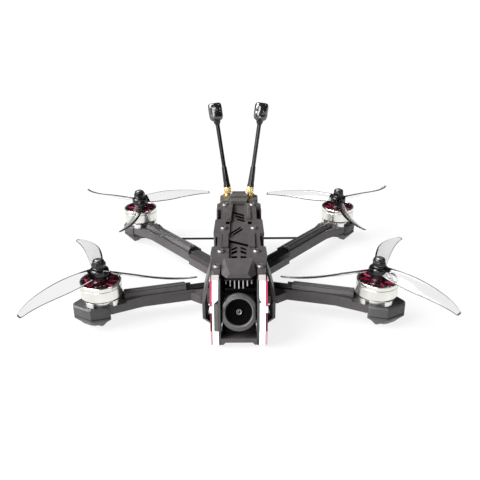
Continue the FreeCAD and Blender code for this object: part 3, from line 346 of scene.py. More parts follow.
class Shape:
    """Collects closed shells, in millimetres, into one piece."""

    def __init__(self):
        self.mesh = bmesh.new()

    def shell(self, rings, closed=False, caps=True, paint=None):
        """Join rings of points; closed joins the last ring to the first.

        paint gives a material number from a face's ring and its place round the ring.
        """
        loops = [[self.mesh.verts.new(point) for point in ring] for ring in rings]
        pairs = list(zip(loops, loops[1:]))
        if closed:
            pairs.append((loops[-1], loops[0]))
        for number, (low, high) in enumerate(pairs):
            count = len(low)
            for index in range(count):
                after = (index + 1) % count
                face = self.mesh.faces.new((low[index], low[after], high[after], high[index]))
                face.material_index = paint(number, index) if paint else 0
        if caps and not closed:
            self.mesh.faces.new(list(reversed(loops[0])))
            self.mesh.faces.new(loops[-1])

    def prism(self, outline, low, high, matrix=Matrix()):
        """An outline pulled up from one height to another."""
        rings = [[matrix @ Vector((x, y, z)) for x, y in outline] for z in (low, high)]
        self.shell(rings)

    def lathe(self, profile, matrix=Matrix(), steps=48):
        """Turn a closed (radius, height) outline about the axis; it may not touch the axis."""
        rings = []
        for step in range(steps):
            angle = 2 * math.pi * step / steps
            rings.append([matrix @ Vector((r * math.cos(angle), r * math.sin(angle), z))
                          for r, z in profile])
        self.shell(rings, closed=True)

    def spindle(self, profile, matrix=Matrix(), steps=40):
        """Turn an open (radius, height) line about the axis and close both ends."""
        rings = []
        for r, z in profile:
            rings.append([matrix @ Vector((r * math.cos(2 * math.pi * step / steps),
                                           r * math.sin(2 * math.pi * step / steps), z))
                          for step in range(steps)])
        self.shell(rings)

    def wire_ring(self, path, radius, sides=6):
        """A round wire that runs along points and back to the first."""
        points = [Vector(point) for point in path]
        count = len(points)
        rings = []
        across = None
        for index, point in enumerate(points):
            tangent = (points[(index + 1) % count] - points[index - 1]).normalized()
            if across is None:
                seed = Vector((0, 0, 1)) if abs(tangent.z) < 0.9 else Vector((1, 0, 0))
                across = tangent.cross(seed).normalized()
            across = (across - tangent * across.dot(tangent)).normalized()
            other = tangent.cross(across)
            rings.append([point + (across * math.cos(2 * math.pi * k / sides)
                                   + other * math.sin(2 * math.pi * k / sides)) * radius
                          for k in range(sides)])
        self.shell(rings, closed=True)

    def make(self, name, material, body, slot, replaces=(), bevel=0.0, segments=2, smooth=40.0):
        """Turn the shells into a piece that rides on a body; material is one or a list."""
        bmesh.ops.scale(self.mesh, vec=(MM,) * 3, verts=self.mesh.verts)
        bmesh.ops.recalc_face_normals(self.mesh, faces=self.mesh.faces)
        data = bpy.data.meshes.new(name)
        self.mesh.to_mesh(data)
        self.mesh.free()
        for each in material if isinstance(material, list) else [material]:
            data.materials.append(each)
        piece = bpy.data.objects.new(name, data)
        bpy.context.scene.collection.objects.link(piece)
        finish_edges(piece, bevel, segments, smooth)
        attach(piece, body)
        if replaces:
            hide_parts(*replaces)
        return piece


def round_edges(piece, width, segments, degrees):
    """Bevel, in millimetres, on edges sharper than an angle."""
    made = piece.modifiers.new("bevel", "BEVEL")
    made.width = width * MM
    made.segments = segments
    made.limit_method = "ANGLE"
    made.angle_limit = math.radians(degrees)


def shade_smooth(piece):
    """Smooth shading that leaves flat faces flat."""
    for polygon in piece.data.polygons:
        polygon.use_smooth = True
    made = piece.modifiers.new("normals", "WEIGHTED_NORMAL")
    made.keep_sharp = True


def finish_edges(piece, bevel, segments, smooth):
    """Round the sharp edges and shade the rest smooth."""
    if bevel:
        round_edges(piece, bevel, segments, smooth)
    shade_smooth(piece)
    piece.data.set_sharp_from_angle(angle=math.radians(smooth))


def dress_node(name, material):
    """Material and rounded edges for a CAD node that stays as it is."""
    node = NODES[name]
    node.data.materials.clear()
    node.data.materials.append(material)
    weld = node.modifiers.new("weld", "WELD")
    weld.merge_threshold = WELD_REACH
    flat = node.modifiers.new("flat", "DECIMATE")
    flat.decimate_type = "DISSOLVE"
    flat.angle_limit = math.radians(FLAT_ANGLE)
    round_edges(node, EDGE_ROUNDING, 2, EDGE_ANGLE)
    shade_smooth(node)


# ---------------------------------------------------------------- the motors

MOTOR_PLACES = {"front": (93.15, -70.0), "rear": (86.9, 70.0)}
SPOKES = 9
TEETH = 12
MAGNETS = 14


def side_sign(corner):
    return 1 if corner.endswith("left") else -1


def motor_axis(corner):
    """Matrix that puts a turned piece on a motor's axis."""
    x, y = MOTOR_PLACES[corner.split("_")[0]]
    return Matrix.Translation((side_sign(corner) * x, y, 0.0))


def turned_about(matrix, degrees):
    return matrix @ Matrix.Rotation(math.radians(degrees), 4, "Z")


def wedge(inner, outer, inner_half, outer_half):
    """Outline of a bar along X that may widen outwards."""
    return [(inner, -inner_half), (outer, -outer_half), (outer, outer_half), (inner, inner_half)]


def make_bell(corner):
    """Silver can, dark spoked cap with crimson edges, magnets and shaft."""
    axis = motor_axis(corner)
    body, node = corner + "_rotor", [corner + "_motor_bell"]
    can = Shape()
    can.lathe([(12.2, 20.9), (13.7, 20.9), (14.1, 21.3), (14.1, 28.1), (13.95, 28.25), (13.95, 28.45),
               (14.1, 28.6), (14.1, 30.8), (13.6, 31.4), (12.7, 31.4), (12.4, 31.0),
               (12.4, 29.8), (12.2, 29.5)], axis, 72)
    can.make(corner + "_bell_can", BELL_SILVER, body, "motor_silver", node, bevel=0.1)
    cap, accent = Shape(), Shape()
    cap.lathe([(11.5, 29.8), (12.4, 29.8), (12.4, 30.9), (11.9, 31.1), (11.5, 30.9)], axis, 72)
    for step in range(SPOKES):
        turn = turned_about(axis, 360.0 * step / SPOKES + 8)
        cap.prism(wedge(4.6, 12.2, 0.65, 1.05), 30.4, 31.15, turn)
        accent.prism(wedge(4.6, 12.2, 0.8, 1.2), 29.8, 30.6, turn)
    cap.spindle([(5.6, 29.8), (5.5, 31.0), (4.6, 31.6), (4.1, 32.3), (4.0, 35.1)], axis)
    cap.make(corner + "_bell_cap", BELL_CAP, body, "motor_silver", node, bevel=0.12)
    accent.make(corner + "_bell_spokes", BELL_ACCENT, body, "motor_silver", node, bevel=0.1)
    magnets = Shape()
    for step in range(MAGNETS):
        turn = turned_about(axis, 360.0 * step / MAGNETS)
        angles = [math.radians(angle) for angle in (-10.5, -5.2, 0, 5.2, 10.5)]
        outline = [(11.45 * math.cos(a), 11.45 * math.sin(a)) for a in angles]
        outline += [(12.15 * math.cos(a), 12.15 * math.sin(a)) for a in reversed(angles)]
        magnets.prism(outline, 21.4, 29.2, turn)
    magnets.make(corner + "_magnets", MAGNET, body, "motor_silver", node)
    shaft = Shape()
    thread = [(2.5 if step % 2 else 2.2, 40.4 + 0.3 * step) for step in range(20)]
    shaft.spindle([(1.8, 18.9), (2.0, 19.1), (2.0, 35.0), (2.45, 35.2), (2.45, 40.2)] + thread
                  + [(2.0, 46.8)], axis, 32)
    shaft.make(corner + "_shaft", MATERIALS["steel"], body, "motor_silver", node)


def winding_loop(distance, half_width, half_height):
    """Rounded rectangle of wire round a tooth."""
    loop = []
    for corner_y, corner_z, first in ((1, 1, 0), (-1, 1, 90), (-1, -1, 180), (1, -1, 270)):
        for angle in (0, 45, 90):
            turn = math.radians(first + angle)
            loop.append((distance, corner_y * (half_width - 0.7) + 0.7 * math.cos(turn),
                         STATOR_MIDDLE + corner_z * (half_height - 0.7) + 0.7 * math.sin(turn)))
    return loop


def make_stators():
    """Steel teeth with red wire wound round each."""
    core, wire = Shape(), Shape()
    for corner in CORNERS:
        axis = motor_axis(corner)
        core.lathe([(5.5, STATOR_LOW), (7.3, STATOR_LOW), (7.3, STATOR_HIGH),
                    (5.5, STATOR_HIGH)], axis)
        for step in range(TEETH):
            turn = turned_about(axis, 360.0 * step / TEETH)
            core.prism(wedge(7.2, 10.2, 1.0, 1.0), STATOR_LOW, STATOR_HIGH, turn)
            core.prism([(10.0, -2.3), (10.7, -2.3), (11.0, 0), (10.7, 2.3), (10.0, 2.3)],
                       STATOR_LOW, STATOR_HIGH, turn)
            for layer in range(5):
                distance = 7.75 + 0.5 * layer
                loop = winding_loop(distance, 1.5 + 0.1 * layer, 3.3)
                wire.wire_ring([turn @ Vector(point) for point in loop], 0.3)
    core.make("stator_cores", LAMINATION, "airframe", "windings", ["motor_stators"])
    wire.make("stator_windings", MATERIALS["windings"], "airframe", "windings",
              ["motor_stators"], smooth=80.0)


def make_nut(corner):
    """Black flanged hexagon with a black anodised locking collar."""
    axis = motor_axis(corner)
    body, node = corner + "_rotor", [corner + "_prop_nut"]
    nut = Shape()
    nut.lathe([(2.55, 40.2), (4.75, 40.2), (4.75, 41.0), (4.3, 41.4), (2.55, 41.4)], axis)
    rings = []
    for size, level in ((4.6, 41.2), (4.85, 41.5), (4.85, 43.8), (4.35, 44.5)):
        rings.append([axis @ Vector((size * math.cos(math.radians(60 * k + 20)),
                                     size * math.sin(math.radians(60 * k + 20)), level))
                      for k in range(6)])
    nut.shell(rings)
    nut.make(corner + "_nut_body", GLOSS_BLACK, body, "nut_black", node, bevel=0.15)
    collar = Shape()
    collar.lathe([(2.55, 44.3), (4.0, 44.3), (4.0, 45.3), (3.5, 46.0), (3.1, 46.2), (2.55, 46.2)],
                 axis)
    collar.make(corner + "_nut_collar", MATERIALS["nut_black"], body, "nut_black", node, bevel=0.1)


# ------------------------------------------------------------- the propellers

BLADE_ANGLES = {"front_left": (-56.3, 1), "front_right": (236.3, -1),
                "rear_left": (39.8, -1), "rear_right": (145.0, 1)}
PROP_RADIUS = 65.6
HUB_MIDDLE = 37.7
HUB_EDGE = 5.0
ROOT_END = 7.9           # the blades' roots are as dark as the hub up to here
CHORD_ROOT, CHORD_GROWTH, CHORD_TAPER = 8.3, 14.0, 18.6
CAMBER = 0.05            # of the chord
STEEPEST_RADIUS = 27.0   # nearer the hub a blade is no steeper than here
BLADE_SWEEP = 8.7        # degrees that the root leads the tip by
BLADE_ADVANCE = 117.0    # millimetres that a blade would screw forward in a turn
BLADE_DROOP = 2.6
SECTION_STOPS = (0.0, 0.02, 0.07, 0.16, 0.3, 0.5, 0.7, 0.84, 0.93, 0.98, 1.0)


def blade_ring(radius, spin, narrowing=1.0):
    """Points round one section of a blade, from the leading edge over the top and back."""
    share = max(radius - HUB_EDGE, 0.0) / (PROP_RADIUS - HUB_EDGE)
    chord = (CHORD_ROOT + CHORD_GROWTH * share - CHORD_TAPER * share ** 2) * narrowing
    half_thickness = 0.75 - 0.38 * share
    camber = CAMBER * chord
    lead = math.radians(BLADE_SWEEP) * (1 - share ** 2.85) * spin
    pitch = math.atan(BLADE_ADVANCE / (2 * math.pi * max(radius, STEEPEST_RADIUS)))
    out = Vector((math.cos(lead), math.sin(lead), 0))
    forward = Vector((-math.sin(lead), math.cos(lead), 0)) * spin
    chord_line = forward * math.cos(pitch) + Vector((0, 0, math.sin(pitch)))
    normal = Vector((0, 0, math.cos(pitch))) - forward * math.sin(pitch)
    centre = out * radius - Vector((0, 0, BLADE_DROOP * share))

    def point(stop, face):
        away = abs(2 * stop - 1)
        bow = camber * (1 - away ** 2) + face * half_thickness * math.sqrt(1 - away ** 6)
        return centre + chord_line * (chord * (0.5 - stop)) + normal * bow

    upper = [point(stop, 1) for stop in SECTION_STOPS]
    lower = [point(stop, -1) for stop in reversed(SECTION_STOPS[1:-1])]
    return upper + lower


def make_propeller(corner):
    """Three clear blades with dark edges and roots on a glossy black hub."""
    angle, spin = BLADE_ANGLES[corner]
    axis = motor_axis(corner) @ Matrix.Translation((0, 0, HUB_MIDDLE))
    body, node = corner + "_rotor", [corner + "_propeller"]
    radii = [4.5, 6.5, 8.0, 10.0] + [10.0 + 3.4 * step for step in range(1, 16)] + [63.4, 64.9]
    points_round = 2 * len(SECTION_STOPS) - 2
    dark = {0, 1, len(SECTION_STOPS) - 2, len(SECTION_STOPS) - 1, points_round - 1,
            points_round - 2}

    def paint(ring, place):
        if radii[ring] < ROOT_END:
            return 2
        return 1 if place in dark or ring >= len(radii) - 1 else 0

    blades = Shape()
    for step in range(3):
        turn = turned_about(axis, angle + 120 * step)
        rings = [[turn @ point for point in blade_ring(radius, spin)] for radius in radii]
        rings.append([turn @ point for point in blade_ring(PROP_RADIUS, spin, 0.7)])
        blades.shell(rings, paint=paint)
    blades.make(corner + "_blades", [MATERIALS["smoked_clear"], BLADE_EDGE, GLOSS_BLACK], body,
                "smoked_clear", node, smooth=60.0)
    hub = Shape()
    hub.lathe([(2.6, 35.2), (5.7, 35.2), (6.5, 36.0), (6.5, 38.7), (6.1, 39.6), (5.4, 40.15),
               (5.0, 39.7), (2.6, 39.7)], motor_axis(corner))
    hub.lathe([(2.6, 39.6), (3.6, 39.6), (3.6, 40.15), (2.6, 40.15)], motor_axis(corner))
    hub.make(corner + "_hub", GLOSS_BLACK, body, "smoked_clear", node, bevel=0.2, segments=3)


# --------------------------------------------------------------- the antennas

def antenna_frame(side):
    """Matrix with its Z axis along the antenna, from the top of the connector."""
    mirror = Matrix.Diagonal((side, 1, 1))
    base = mirror @ Vector(ANTENNA_BASE)
    reach = mirror @ Vector(ANTENNA_TIP) - base
    turn = Vector((0, 0, 1)).rotation_difference(reach.normalized())
    return Matrix.Translation(base) @ turn.to_matrix().to_4x4()


def rounded_ring(matrix, half_x, half_y, level, power=2.6, steps=32):
    """Points round a rounded rectangle; a higher power has tighter corners."""
    ring = []
    for step in range(steps):
        angle = 2 * math.pi * step / steps
        x, y = math.cos(angle), math.sin(angle)
        ring.append(matrix @ Vector((math.copysign(abs(x) ** (2 / power), x) * half_x,
                                     math.copysign(abs(y) ** (2 / power), y) * half_y, level)))
    return ring


def make_antennas():
    """Booted stems with block heads, on brass screw connectors."""
    stems, heads, brass = Shape(), Shape(), Shape()
    boot = [(2.9, 0.0), (2.9, 1.6), (2.6, 2.0), (2.55, 5.5), (2.3, 11.0), (2.1, 16.2), (1.75, 17.0)]
    head = [(0.45, 0.0), (0.6, 0.3), (0.8, 1.0), (0.94, 2.2), (1.0, 4.0), (1.0, 10.0), (0.97, 12.3),
            (0.88, 13.7), (0.7, 14.4), (0.4, 14.6)]
    for side in (1, -1):
        lie = antenna_frame(side)
        stems.spindle(boot + [(1.7, 17.4), (1.7, 50.6), (2.0, 51.4), (2.8, 53.0), (2.9, 54.3)], lie,
                      28)
        tip = lie @ Matrix.Translation((0, 0, 54.0))
        heads.shell([rounded_ring(tip, 5.7 * scale, 4.2 * scale, level) for scale, level in head])
        foot = Matrix.Translation((side * ANTENNA_FOOT[0], ANTENNA_FOOT[1], 0.0))
        hexagon = [(3.6 * math.cos(math.radians(60 * k)), 3.6 * math.sin(math.radians(60 * k)))
                   for k in range(6)]
        brass.prism(hexagon, 48.7, 50.3, foot)
        thread = [(2.4 if step % 2 else 2.1, 50.4 + 0.25 * step) for step in range(14)]
        brass.spindle([(2.4, 42.4)] + thread, foot, 28)
        knurl = [(3.1 if step % 2 else 2.85, step * 2 * math.pi / 40) for step in range(40)]
        outline = [(r * math.cos(a), r * math.sin(a)) for r, a in knurl]
        brass.prism(outline, -5.2, -1.2, lie)
        brass.spindle([(2.9, -1.3), (2.9, -0.3), (2.6, 0.0)], lie, 28)
    stems.make("antenna_stems", MATERIALS["antenna_black"], "airframe", "antenna_black",
               ["video_antennas"], smooth=60.0)
    heads.make("antenna_caps", HEAD_GLOSS, "airframe", "antenna_black",
               ["antenna_heads"], smooth=70.0)
    brass.make("brass_connectors", MATERIALS["connector_brass"], "airframe", "connector_brass",
               ["sma_connectors"], bevel=0.12)


# ------------------------------------------------------- the nose and its camera

NOSE_FRONT = [(-98.0, 45.0), (-105.0, 34.5), (-107.0, 13.5), (-104.5, 1.5)]


def nose_y(level):
    """How far forward the cheeks' front edge is at a height."""
    for (y_high, high), (y_low, low) in zip(NOSE_FRONT, NOSE_FRONT[1:]):
        if level >= low:
            return y_low + (y_high - y_low) * (level - low) / (high - low)
    return NOSE_FRONT[-1][0]


def nose_strip(shape, inner, outer, low, high, sink=0.0, depth=2.2, sides=(1, -1)):
    """A strip of the cheeks' front edges; inner is one distance, or one above and one below."""
    top, bottom = inner if isinstance(inner, tuple) else (inner, inner)
    levels = [high] + [z for _, z in NOSE_FRONT if low < z < high] + [low]
    for side in sides:
        near, far = [], []
        for ahead, ring_order in ((sink, levels), (depth, list(reversed(levels)))):
            for level in ring_order:
                share = (high - level) / (high - low)
                y = nose_y(level) + ahead
                near.append((side * (top + (bottom - top) * share), y, level))
                far.append((side * outer, y, level))
        shape.shell([near, far])


def make_light_bars():
    """White bars, narrow in the middle, with a block outside."""
    bars = Shape()
    nose_strip(bars, 12.95, 16.55, 35.0, 44.6)
    for side, edge in ((1, 14.9), (-1, 15.6)):
        nose_strip(bars, (12.95, edge), 16.55, 31.9, 34.9, sides=(side,))
        nose_strip(bars, edge, 16.6, 13.0, 31.7, sides=(side,))
    nose_strip(bars, 12.95, 16.5, 1.7, 12.8)
    nose_strip(bars, 16.7, 18.1, 26.0, 29.8, depth=1.8)
    bars.make("light_strips", MATERIALS["light_diffuser"], "airframe", "light_diffuser",
              ["light_bars"], bevel=0.15)


def make_light_plates():
    """A plate beside each bar's narrow part, and a cap on top of each bar; the left plate glows white
    as a painted reflection and the caps' pale grey is a painted reflection.
    """
    # painted reflection: the left plate takes the bars' glowing white for the white it reflects; the
    # right one keeps a dark grey
    for name, side, edge, material in (("left", 1, 14.8, MATERIALS["light_diffuser"]),
                                       ("right", -1, 15.5, DARK_PLATE)):
        plate = Shape()
        nose_strip(plate, 12.95, edge, 13.1, 31.6, sink=0.3, sides=(side,))
        plate.make("nose_plate_" + name, material, "airframe", "light_diffuser", ["light_bars"],
                   bevel=0.2)
    # painted reflection: the caps on the cheeks' tops are pale grey for the light their angled tops
    # reflect
    caps = Shape()
    for side in (1, -1):
        section = [(-98.5, 44.7), (-94.9, 44.9), (-94.9, 47.1), (-95.3, 47.1)]
        caps.shell([[(side * x, y, z) for y, z in section] for x in (12.4, 17.0)])
    caps.make("strip_caps", CAP_PAINTED_SHEEN, "airframe", "light_diffuser", ["light_bars"], bevel=0.2)


def make_light_trims():
    """Crimson edges, bright above, deep in the middle and pale below."""
    for name, material, low, high in (("upper", MATERIALS["light_trim"], 30.2, 44.6),
                                      ("middle", DEEP_TRIM, 13.3, 25.6),
                                      ("lower", PALE_TRIM, 1.7, 12.9)):
        trim = Shape()
        nose_strip(trim, 16.65, 18.0, low, high, sink=0.1)
        trim.make("nose_trim_" + name, material, "airframe", "light_trim", ["light_trims"],
                  bevel=0.12)


LENS_PIVOT = (0.0, -94.0, 21.5)
LENS_LEAN = 20           # degrees that the camera looks up at rest
# Puts Z along the camera's view: the pivot, its upward lean, then Z turned forward.
LENS = (Matrix.Translation(LENS_PIVOT) @ Matrix.Rotation(math.radians(-LENS_LEAN), 4, "X")
        @ Matrix.Rotation(math.radians(90), 4, "X"))
LENS_RADIUS = 12.0
LENS_FLAT = 10.65
FLAT_TAPER = 0.6         # how far the flat moves in for each millimetre of smaller radius
LENS_STEPS = 96


def flattened_lathe(shape, profile):
    """Like a lathe about the lens axis, but cut off at a distance on both sides."""
    rings = []
    for step in range(LENS_STEPS):
        angle = 2 * math.pi * step / LENS_STEPS
        across = max(abs(math.cos(angle)), 0.0001)
        ring = []
        for radius, level in profile:
            limit = LENS_FLAT - (LENS_RADIUS - min(radius, LENS_RADIUS)) * FLAT_TAPER
            reach = min(radius, limit / across)
            ring.append(LENS @ Vector((reach * math.cos(angle), reach * math.sin(angle), level)))
        rings.append(ring)
    shape.shell(rings, closed=True)


def make_lens():
    """Chamfered ring with a thin lip, black baffle steps and a small domed glass in a rim; the lip is
    painted light grey as a painted highlight, the rim's inner ring as a painted reflection.
    """
    ring = Shape()
    flattened_lathe(ring, [(8.2, 6.2), (11.6, 6.2), (12.0, 6.6), (12.0, 9.5), (11.3, 10.4),
                           (9.3, 10.7), (8.9, 10.5), (8.3, 9.5), (8.2, 9.0)])
    ring.make("camera_ring", RING_GREY, "camera", "camera_metal", ["lens_ring"],
              smooth=25.0, bevel=0.12)
    lip = Shape()
    # painted highlight: the lip is light grey for the bright edge on the ring
    flattened_lathe(lip, [(8.75, 10.2), (9.3, 10.4), (9.25, 10.95), (8.95, 10.95)])
    lip.make("camera_lip", LENS_PAINTED_GLINT, "camera", "camera_metal", ["lens_ring"], bevel=0.1)
    baffle = Shape()
    baffle.lathe([(0.6, 6.2), (8.15, 6.2), (8.15, 9.3), (7.4, 9.3), (7.2, 8.8), (6.5, 8.8),
                  (6.2, 8.3), (5.2, 8.3), (4.9, 7.9), (3.6, 7.9), (3.5, 7.2), (0.6, 7.2)], LENS, 72)
    baffle.make("camera_baffle", MATT_BLACK, "camera", "lens_glass", ["lens_glass"], smooth=25.0)
    glass = Shape()
    glass.spindle([(0.95, 7.1), (0.95, 8.0), (0.8, 8.25), (0.5, 8.4), (0.15, 8.45)], LENS, 48)
    glass.make("camera_glass", MATERIALS["lens_glass"], "camera", "lens_glass", ["lens_glass"],
               smooth=70.0)
    rim = Shape()
    rim.lathe([(1.0, 7.1), (3.5, 7.1), (3.5, 7.5), (2.2, 7.7), (1.75, 8.35), (1.0, 8.0)], LENS)
    piece = rim.make("camera_rim", [MATT_BLACK, LENS_PAINTED_GLINT], "camera", "lens_glass",
                     ["lens_glass"], smooth=30.0)
    # painted reflection: the rim's ring round the centre is light grey for the lens element's
    # reflection
    from_lens = LENS.inverted()
    for polygon in piece.data.polygons:
        middle = from_lens @ (polygon.center / MM)
        polygon.material_index = 1 if middle.xy.length < 1.9 and middle.z > 8.0 else 0


def make_air_unit():
    """Dark finned case whose fins end in tips painted near-white as a painted highlight."""
    case, tips = Shape(), Shape()
    case.prism([(-10.8, -86.0), (10.8, -86.0), (10.8, -65.5), (-10.8, -65.5)], 33.0, 44.6)
    for index in range(7):
        x = (index - 3) * 2.75
        reach = 40.0 - 0.2 * abs(index - 3)
        drop = (34.1, 34.3, 36.0, 37.6)[abs(index - 3)]
        case.prism([(x - 0.4, -87.6), (x + 0.4, -87.6), (x + 0.4, -86.0), (x - 0.4, -86.0)],
                   33.6, 44.0)
        section = [(-89.6, drop), (-89.7, drop + 1.0), (-88.0, reach), (-87.5, reach),
                   (-87.5, drop)]
        tips.shell([[(x + across, y, z) for y, z in section] for across in (-0.36, 0.36)])
    shelf = Shape()
    shelf.prism([(-9.4, -89.2), (9.4, -89.2), (9.4, -87.0), (-9.4, -87.0)], 40.0, 40.6)
    shelf.make("air_unit_shelf", RING_GREY, "airframe", "motor_silver", ["air_unit"], bevel=0.15)
    case.make("air_unit_case", MATT_BLACK, "airframe", "motor_silver", ["air_unit"], bevel=0.2)
    # painted highlight: the tips' near-white, nearly non-metal colour stands in for the light the
    # fins reflect
    tips.make("air_unit_tips", FIN_PAINTED_HIGHLIGHT, "airframe", "motor_silver", ["air_unit"], bevel=0.15)


# ------------------------------------------------------------- the arm covers

ARM_DIRECTIONS = {"front": (-0.965, 0.262), "rear": (-0.630, -0.777)}
COVER_SPANS = {"front": (15.6, 56.8), "rear": (16.0, 79.2)}


def arm_matrix(corner):
    """Matrix with X along the arm towards the body, from the motor's axis."""
    x, y = ARM_DIRECTIONS[corner.split("_")[0]]
    inward = Vector((x * side_sign(corner), y, 0)).normalized()
    across = Vector((-inward.y, inward.x, 0))
    turn = Matrix((inward, across, Vector((0, 0, 1)))).transposed().to_4x4()
    return motor_axis(corner) @ turn


def make_cover_ridges():
    """Two low ridges along each cover, with flat matt black strips beside them as painted shade in
    their grooves.
    """
    ridges, grooves = Shape(), Shape()
    low, high = COVER_TOP - 0.05, COVER_TOP + 0.65
    for corner in CORNERS:
        lie = arm_matrix(corner)
        start, stop = COVER_SPANS[corner.split("_")[0]]
        for side in (1, -1):
            middle = side * 1.55
            section = [(middle - 0.8, low), (middle - 0.5, high), (middle + 0.5, high),
                       (middle + 0.8, low)]
            ridges.shell([[lie @ Vector((u, v, z)) for v, z in section] for u in (start, stop)])
            # painted shade: the black strips stand in for the shade in the grooves beside the ridges
            near, far = sorted((side * 2.4, side * 2.72))
            outline = [(start, near), (stop, near), (stop, far), (start, far)]
            grooves.prism(outline, low, COVER_TOP + 0.04, lie)
    ridges.make("cover_ridges", COVER_PLASTIC, "airframe", "soft_plastic", bevel=0.15)
    grooves.make("cover_grooves", MATT_BLACK, "airframe", "soft_plastic")


# ------------------------------------------------------------ the deck's slots

# painted shade: how far the black linings sit inside the slots' walls and how far they reach in
PAINTED_SHADE_GAP, PAINTED_SHADE_REACH = 0.04, 0.4


def leaning_slot(x, y, width, height, lean):
    """Corners of a slot whose front and back edges lean by the given amount."""
    half, reach = width / 2, height / 2
    return [(x - half, y - reach - lean), (x + half, y - reach + lean),
            (x + half, y + reach + lean), (x - half, y + reach - lean)]


def slot_painted_shade(shape, corners, low, high):
    """A thin wall just inside a slot's own walls; its matt black is painted shade that makes the slot
    look deep.
    """
    middle = Vector((sum(x for x, _ in corners) / 4, sum(y for _, y in corners) / 4))
    rings = []
    for inset, level in ((PAINTED_SHADE_GAP, low), (PAINTED_SHADE_GAP, high), (PAINTED_SHADE_REACH, high),
                         (PAINTED_SHADE_REACH, low)):
        ring = []
        for corner in corners:
            point = Vector(corner)
            inward = (middle - point).normalized()
            ring.append((*(point + inward * inset), level))
        rings.append(ring)
    shape.shell(rings, closed=True)


def channel_slots():
    """The slots in the deck's channel: three at the back, two diagonal, six at the front."""
    slots = [leaning_slot(0.0, 12.0, 8.4, 4.7, -3.2), leaning_slot(0.8, 5.6, 7.0, 4.6, -2.66),
             leaning_slot(1.5, -0.6, 5.8, 4.6, -2.2)]
    slots += [leaning_slot(-2.2, -21.0, 7.2, 3.8, 5.9), leaning_slot(-0.8, -24.1, 7.2, 3.8, 5.9)]
    for side in (1, -1):
        slots += [leaning_slot(side * 3.1, y, 4.0, height, side * lean)
                  for y, height, lean in ((-53.6, 3.4, -1.9), (-59.6, 4.2, -1.9), (-67.9, 4.6, -0.3))]
    return slots


def make_slot_painted_shades():
    """Painted shade: matt black linings inside the deck's slots, and black strips for the shadows at
    the step in its channel and beside its rails.
    """
    painted_shades = Shape()
    low = DECK_BOTTOM + 0.1
    rail_edge = ((11.35, -31.6), (11.7, -31.6), (11.7, -57.0), (11.35, -57.0))
    for side in (1, -1):
        slot_painted_shade(painted_shades, leaning_slot(side * 8.3, -10.4, 3.0, 5.6, 0.0), low, DECK_TOP - 0.1)
        # painted shadow: a thin black strip along each rail's outer edge stands in for the shadow
        # line there
        groove = [(side * x, y) for x, y in rail_edge]
        painted_shades.prism(groove, DECK_TOP + 0.02, DECK_TOP + 0.2)
    # painted shade: matt black walls inside the slots make them look deep
    for corners in channel_slots():
        slot_painted_shade(painted_shades, corners, low, CHANNEL_FLOOR - 0.05)
    # painted shadow: a black strip on the front wall of the channel's step stands in for its shadow
    step = [(-6.5, -42.4), (-6.5, -42.9), (6.5, -50.8), (6.5, -50.3)]
    painted_shades.prism(step, CHANNEL_FLOOR + 0.05, DECK_TOP - 0.1)
    painted_shades.make("slot_painted_shades", MATT_BLACK, "airframe", "moulded_frame", smooth=20.0)


def make_tray_edges():
    """Dark strips that close the gaps beside the tray under the camera."""
    edges = Shape()
    for side in (1, -1):
        section = [(-89.2, 5.0), (-89.2, 6.5), (-80.6, 7.2), (-80.6, 5.7)]
        edges.shell([[(side * x, y, z) for y, z in section] for x in (10.3, 11.15)])
    edges.make("tray_edges", MATT_BLACK, "airframe", "moulded_frame", smooth=20.0)


# ------------------------------------------------------- the pad and the socket

def make_landing_pad():
    """Foam strip with rounded edges, slightly pressed under the frame."""
    low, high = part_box("landing_pad")
    low, high = Vector(low) / MM, Vector(high) / MM
    middle = (low + high) / 2
    half = (high - low) / 2
    pad = Shape()
    rings = []
    lie = Matrix.Translation((middle.x, middle.y, 0))
    edge_insets = {1.0: 1.3, 0.96: 0.45, 0.84: 0.1}
    for share in (-1.0, -0.96, -0.84, -0.5, 0.0, 0.5, 0.84, 0.96, 1.0):
        bulge = 1.0 - 0.06 * share ** 2
        inset = edge_insets.get(abs(share), 0.0)
        rings.append(rounded_ring(lie, half.x * bulge - inset, half.y - inset,
                                  middle.z + share * half.z, 9.0, 96))
    pad.shell(rings)
    piece = pad.make("foam_pad", MATERIALS["foam"], "airframe", "foam", ["landing_pad"],
                     smooth=60.0)


def make_power_socket():
    """Keyed two-pole housing with a rim and brass contacts."""
    outline = [(-8.0, 22.1), (5.2, 22.1), (8.0, 24.9), (8.0, 27.3), (5.2, 30.1), (-8.0, 30.1)]

    def scaled(points, factor):
        return [(x * factor, SOCKET_MIDDLE + (z - SOCKET_MIDDLE) * factor) for x, z in points]

    housing = Shape()
    stations = [(44.1, 0.9), (45.0, 0.96), (57.4, 0.96), (57.5, 1.0), (60.0, 1.0), (60.0, 0.84),
                (53.0, 0.82)]
    housing.shell([[(x, y, z) for x, z in scaled(outline, factor)] for y, factor in stations])
    housing.make("socket_housing", MATERIALS["socket_plastic"], "airframe", "socket_plastic",
                 ["power_socket"], bevel=0.25)
    contacts = Shape()
    for x in (-3.6, 3.6):
        lie = (Matrix.Translation((x, 52.9, SOCKET_MIDDLE))
               @ Matrix.Rotation(math.radians(-90), 4, "X"))
        contacts.lathe([(1.1, 0.0), (1.8, 0.0), (1.8, 5.8), (1.6, 6.2), (1.3, 6.2), (1.1, 5.8)], lie)
    contacts.make("socket_contacts", MATERIALS["connector_brass"], "airframe", "socket_plastic",
                  ["power_socket"], bevel=0.08)


# ------------------------------------------------------------- studio and view

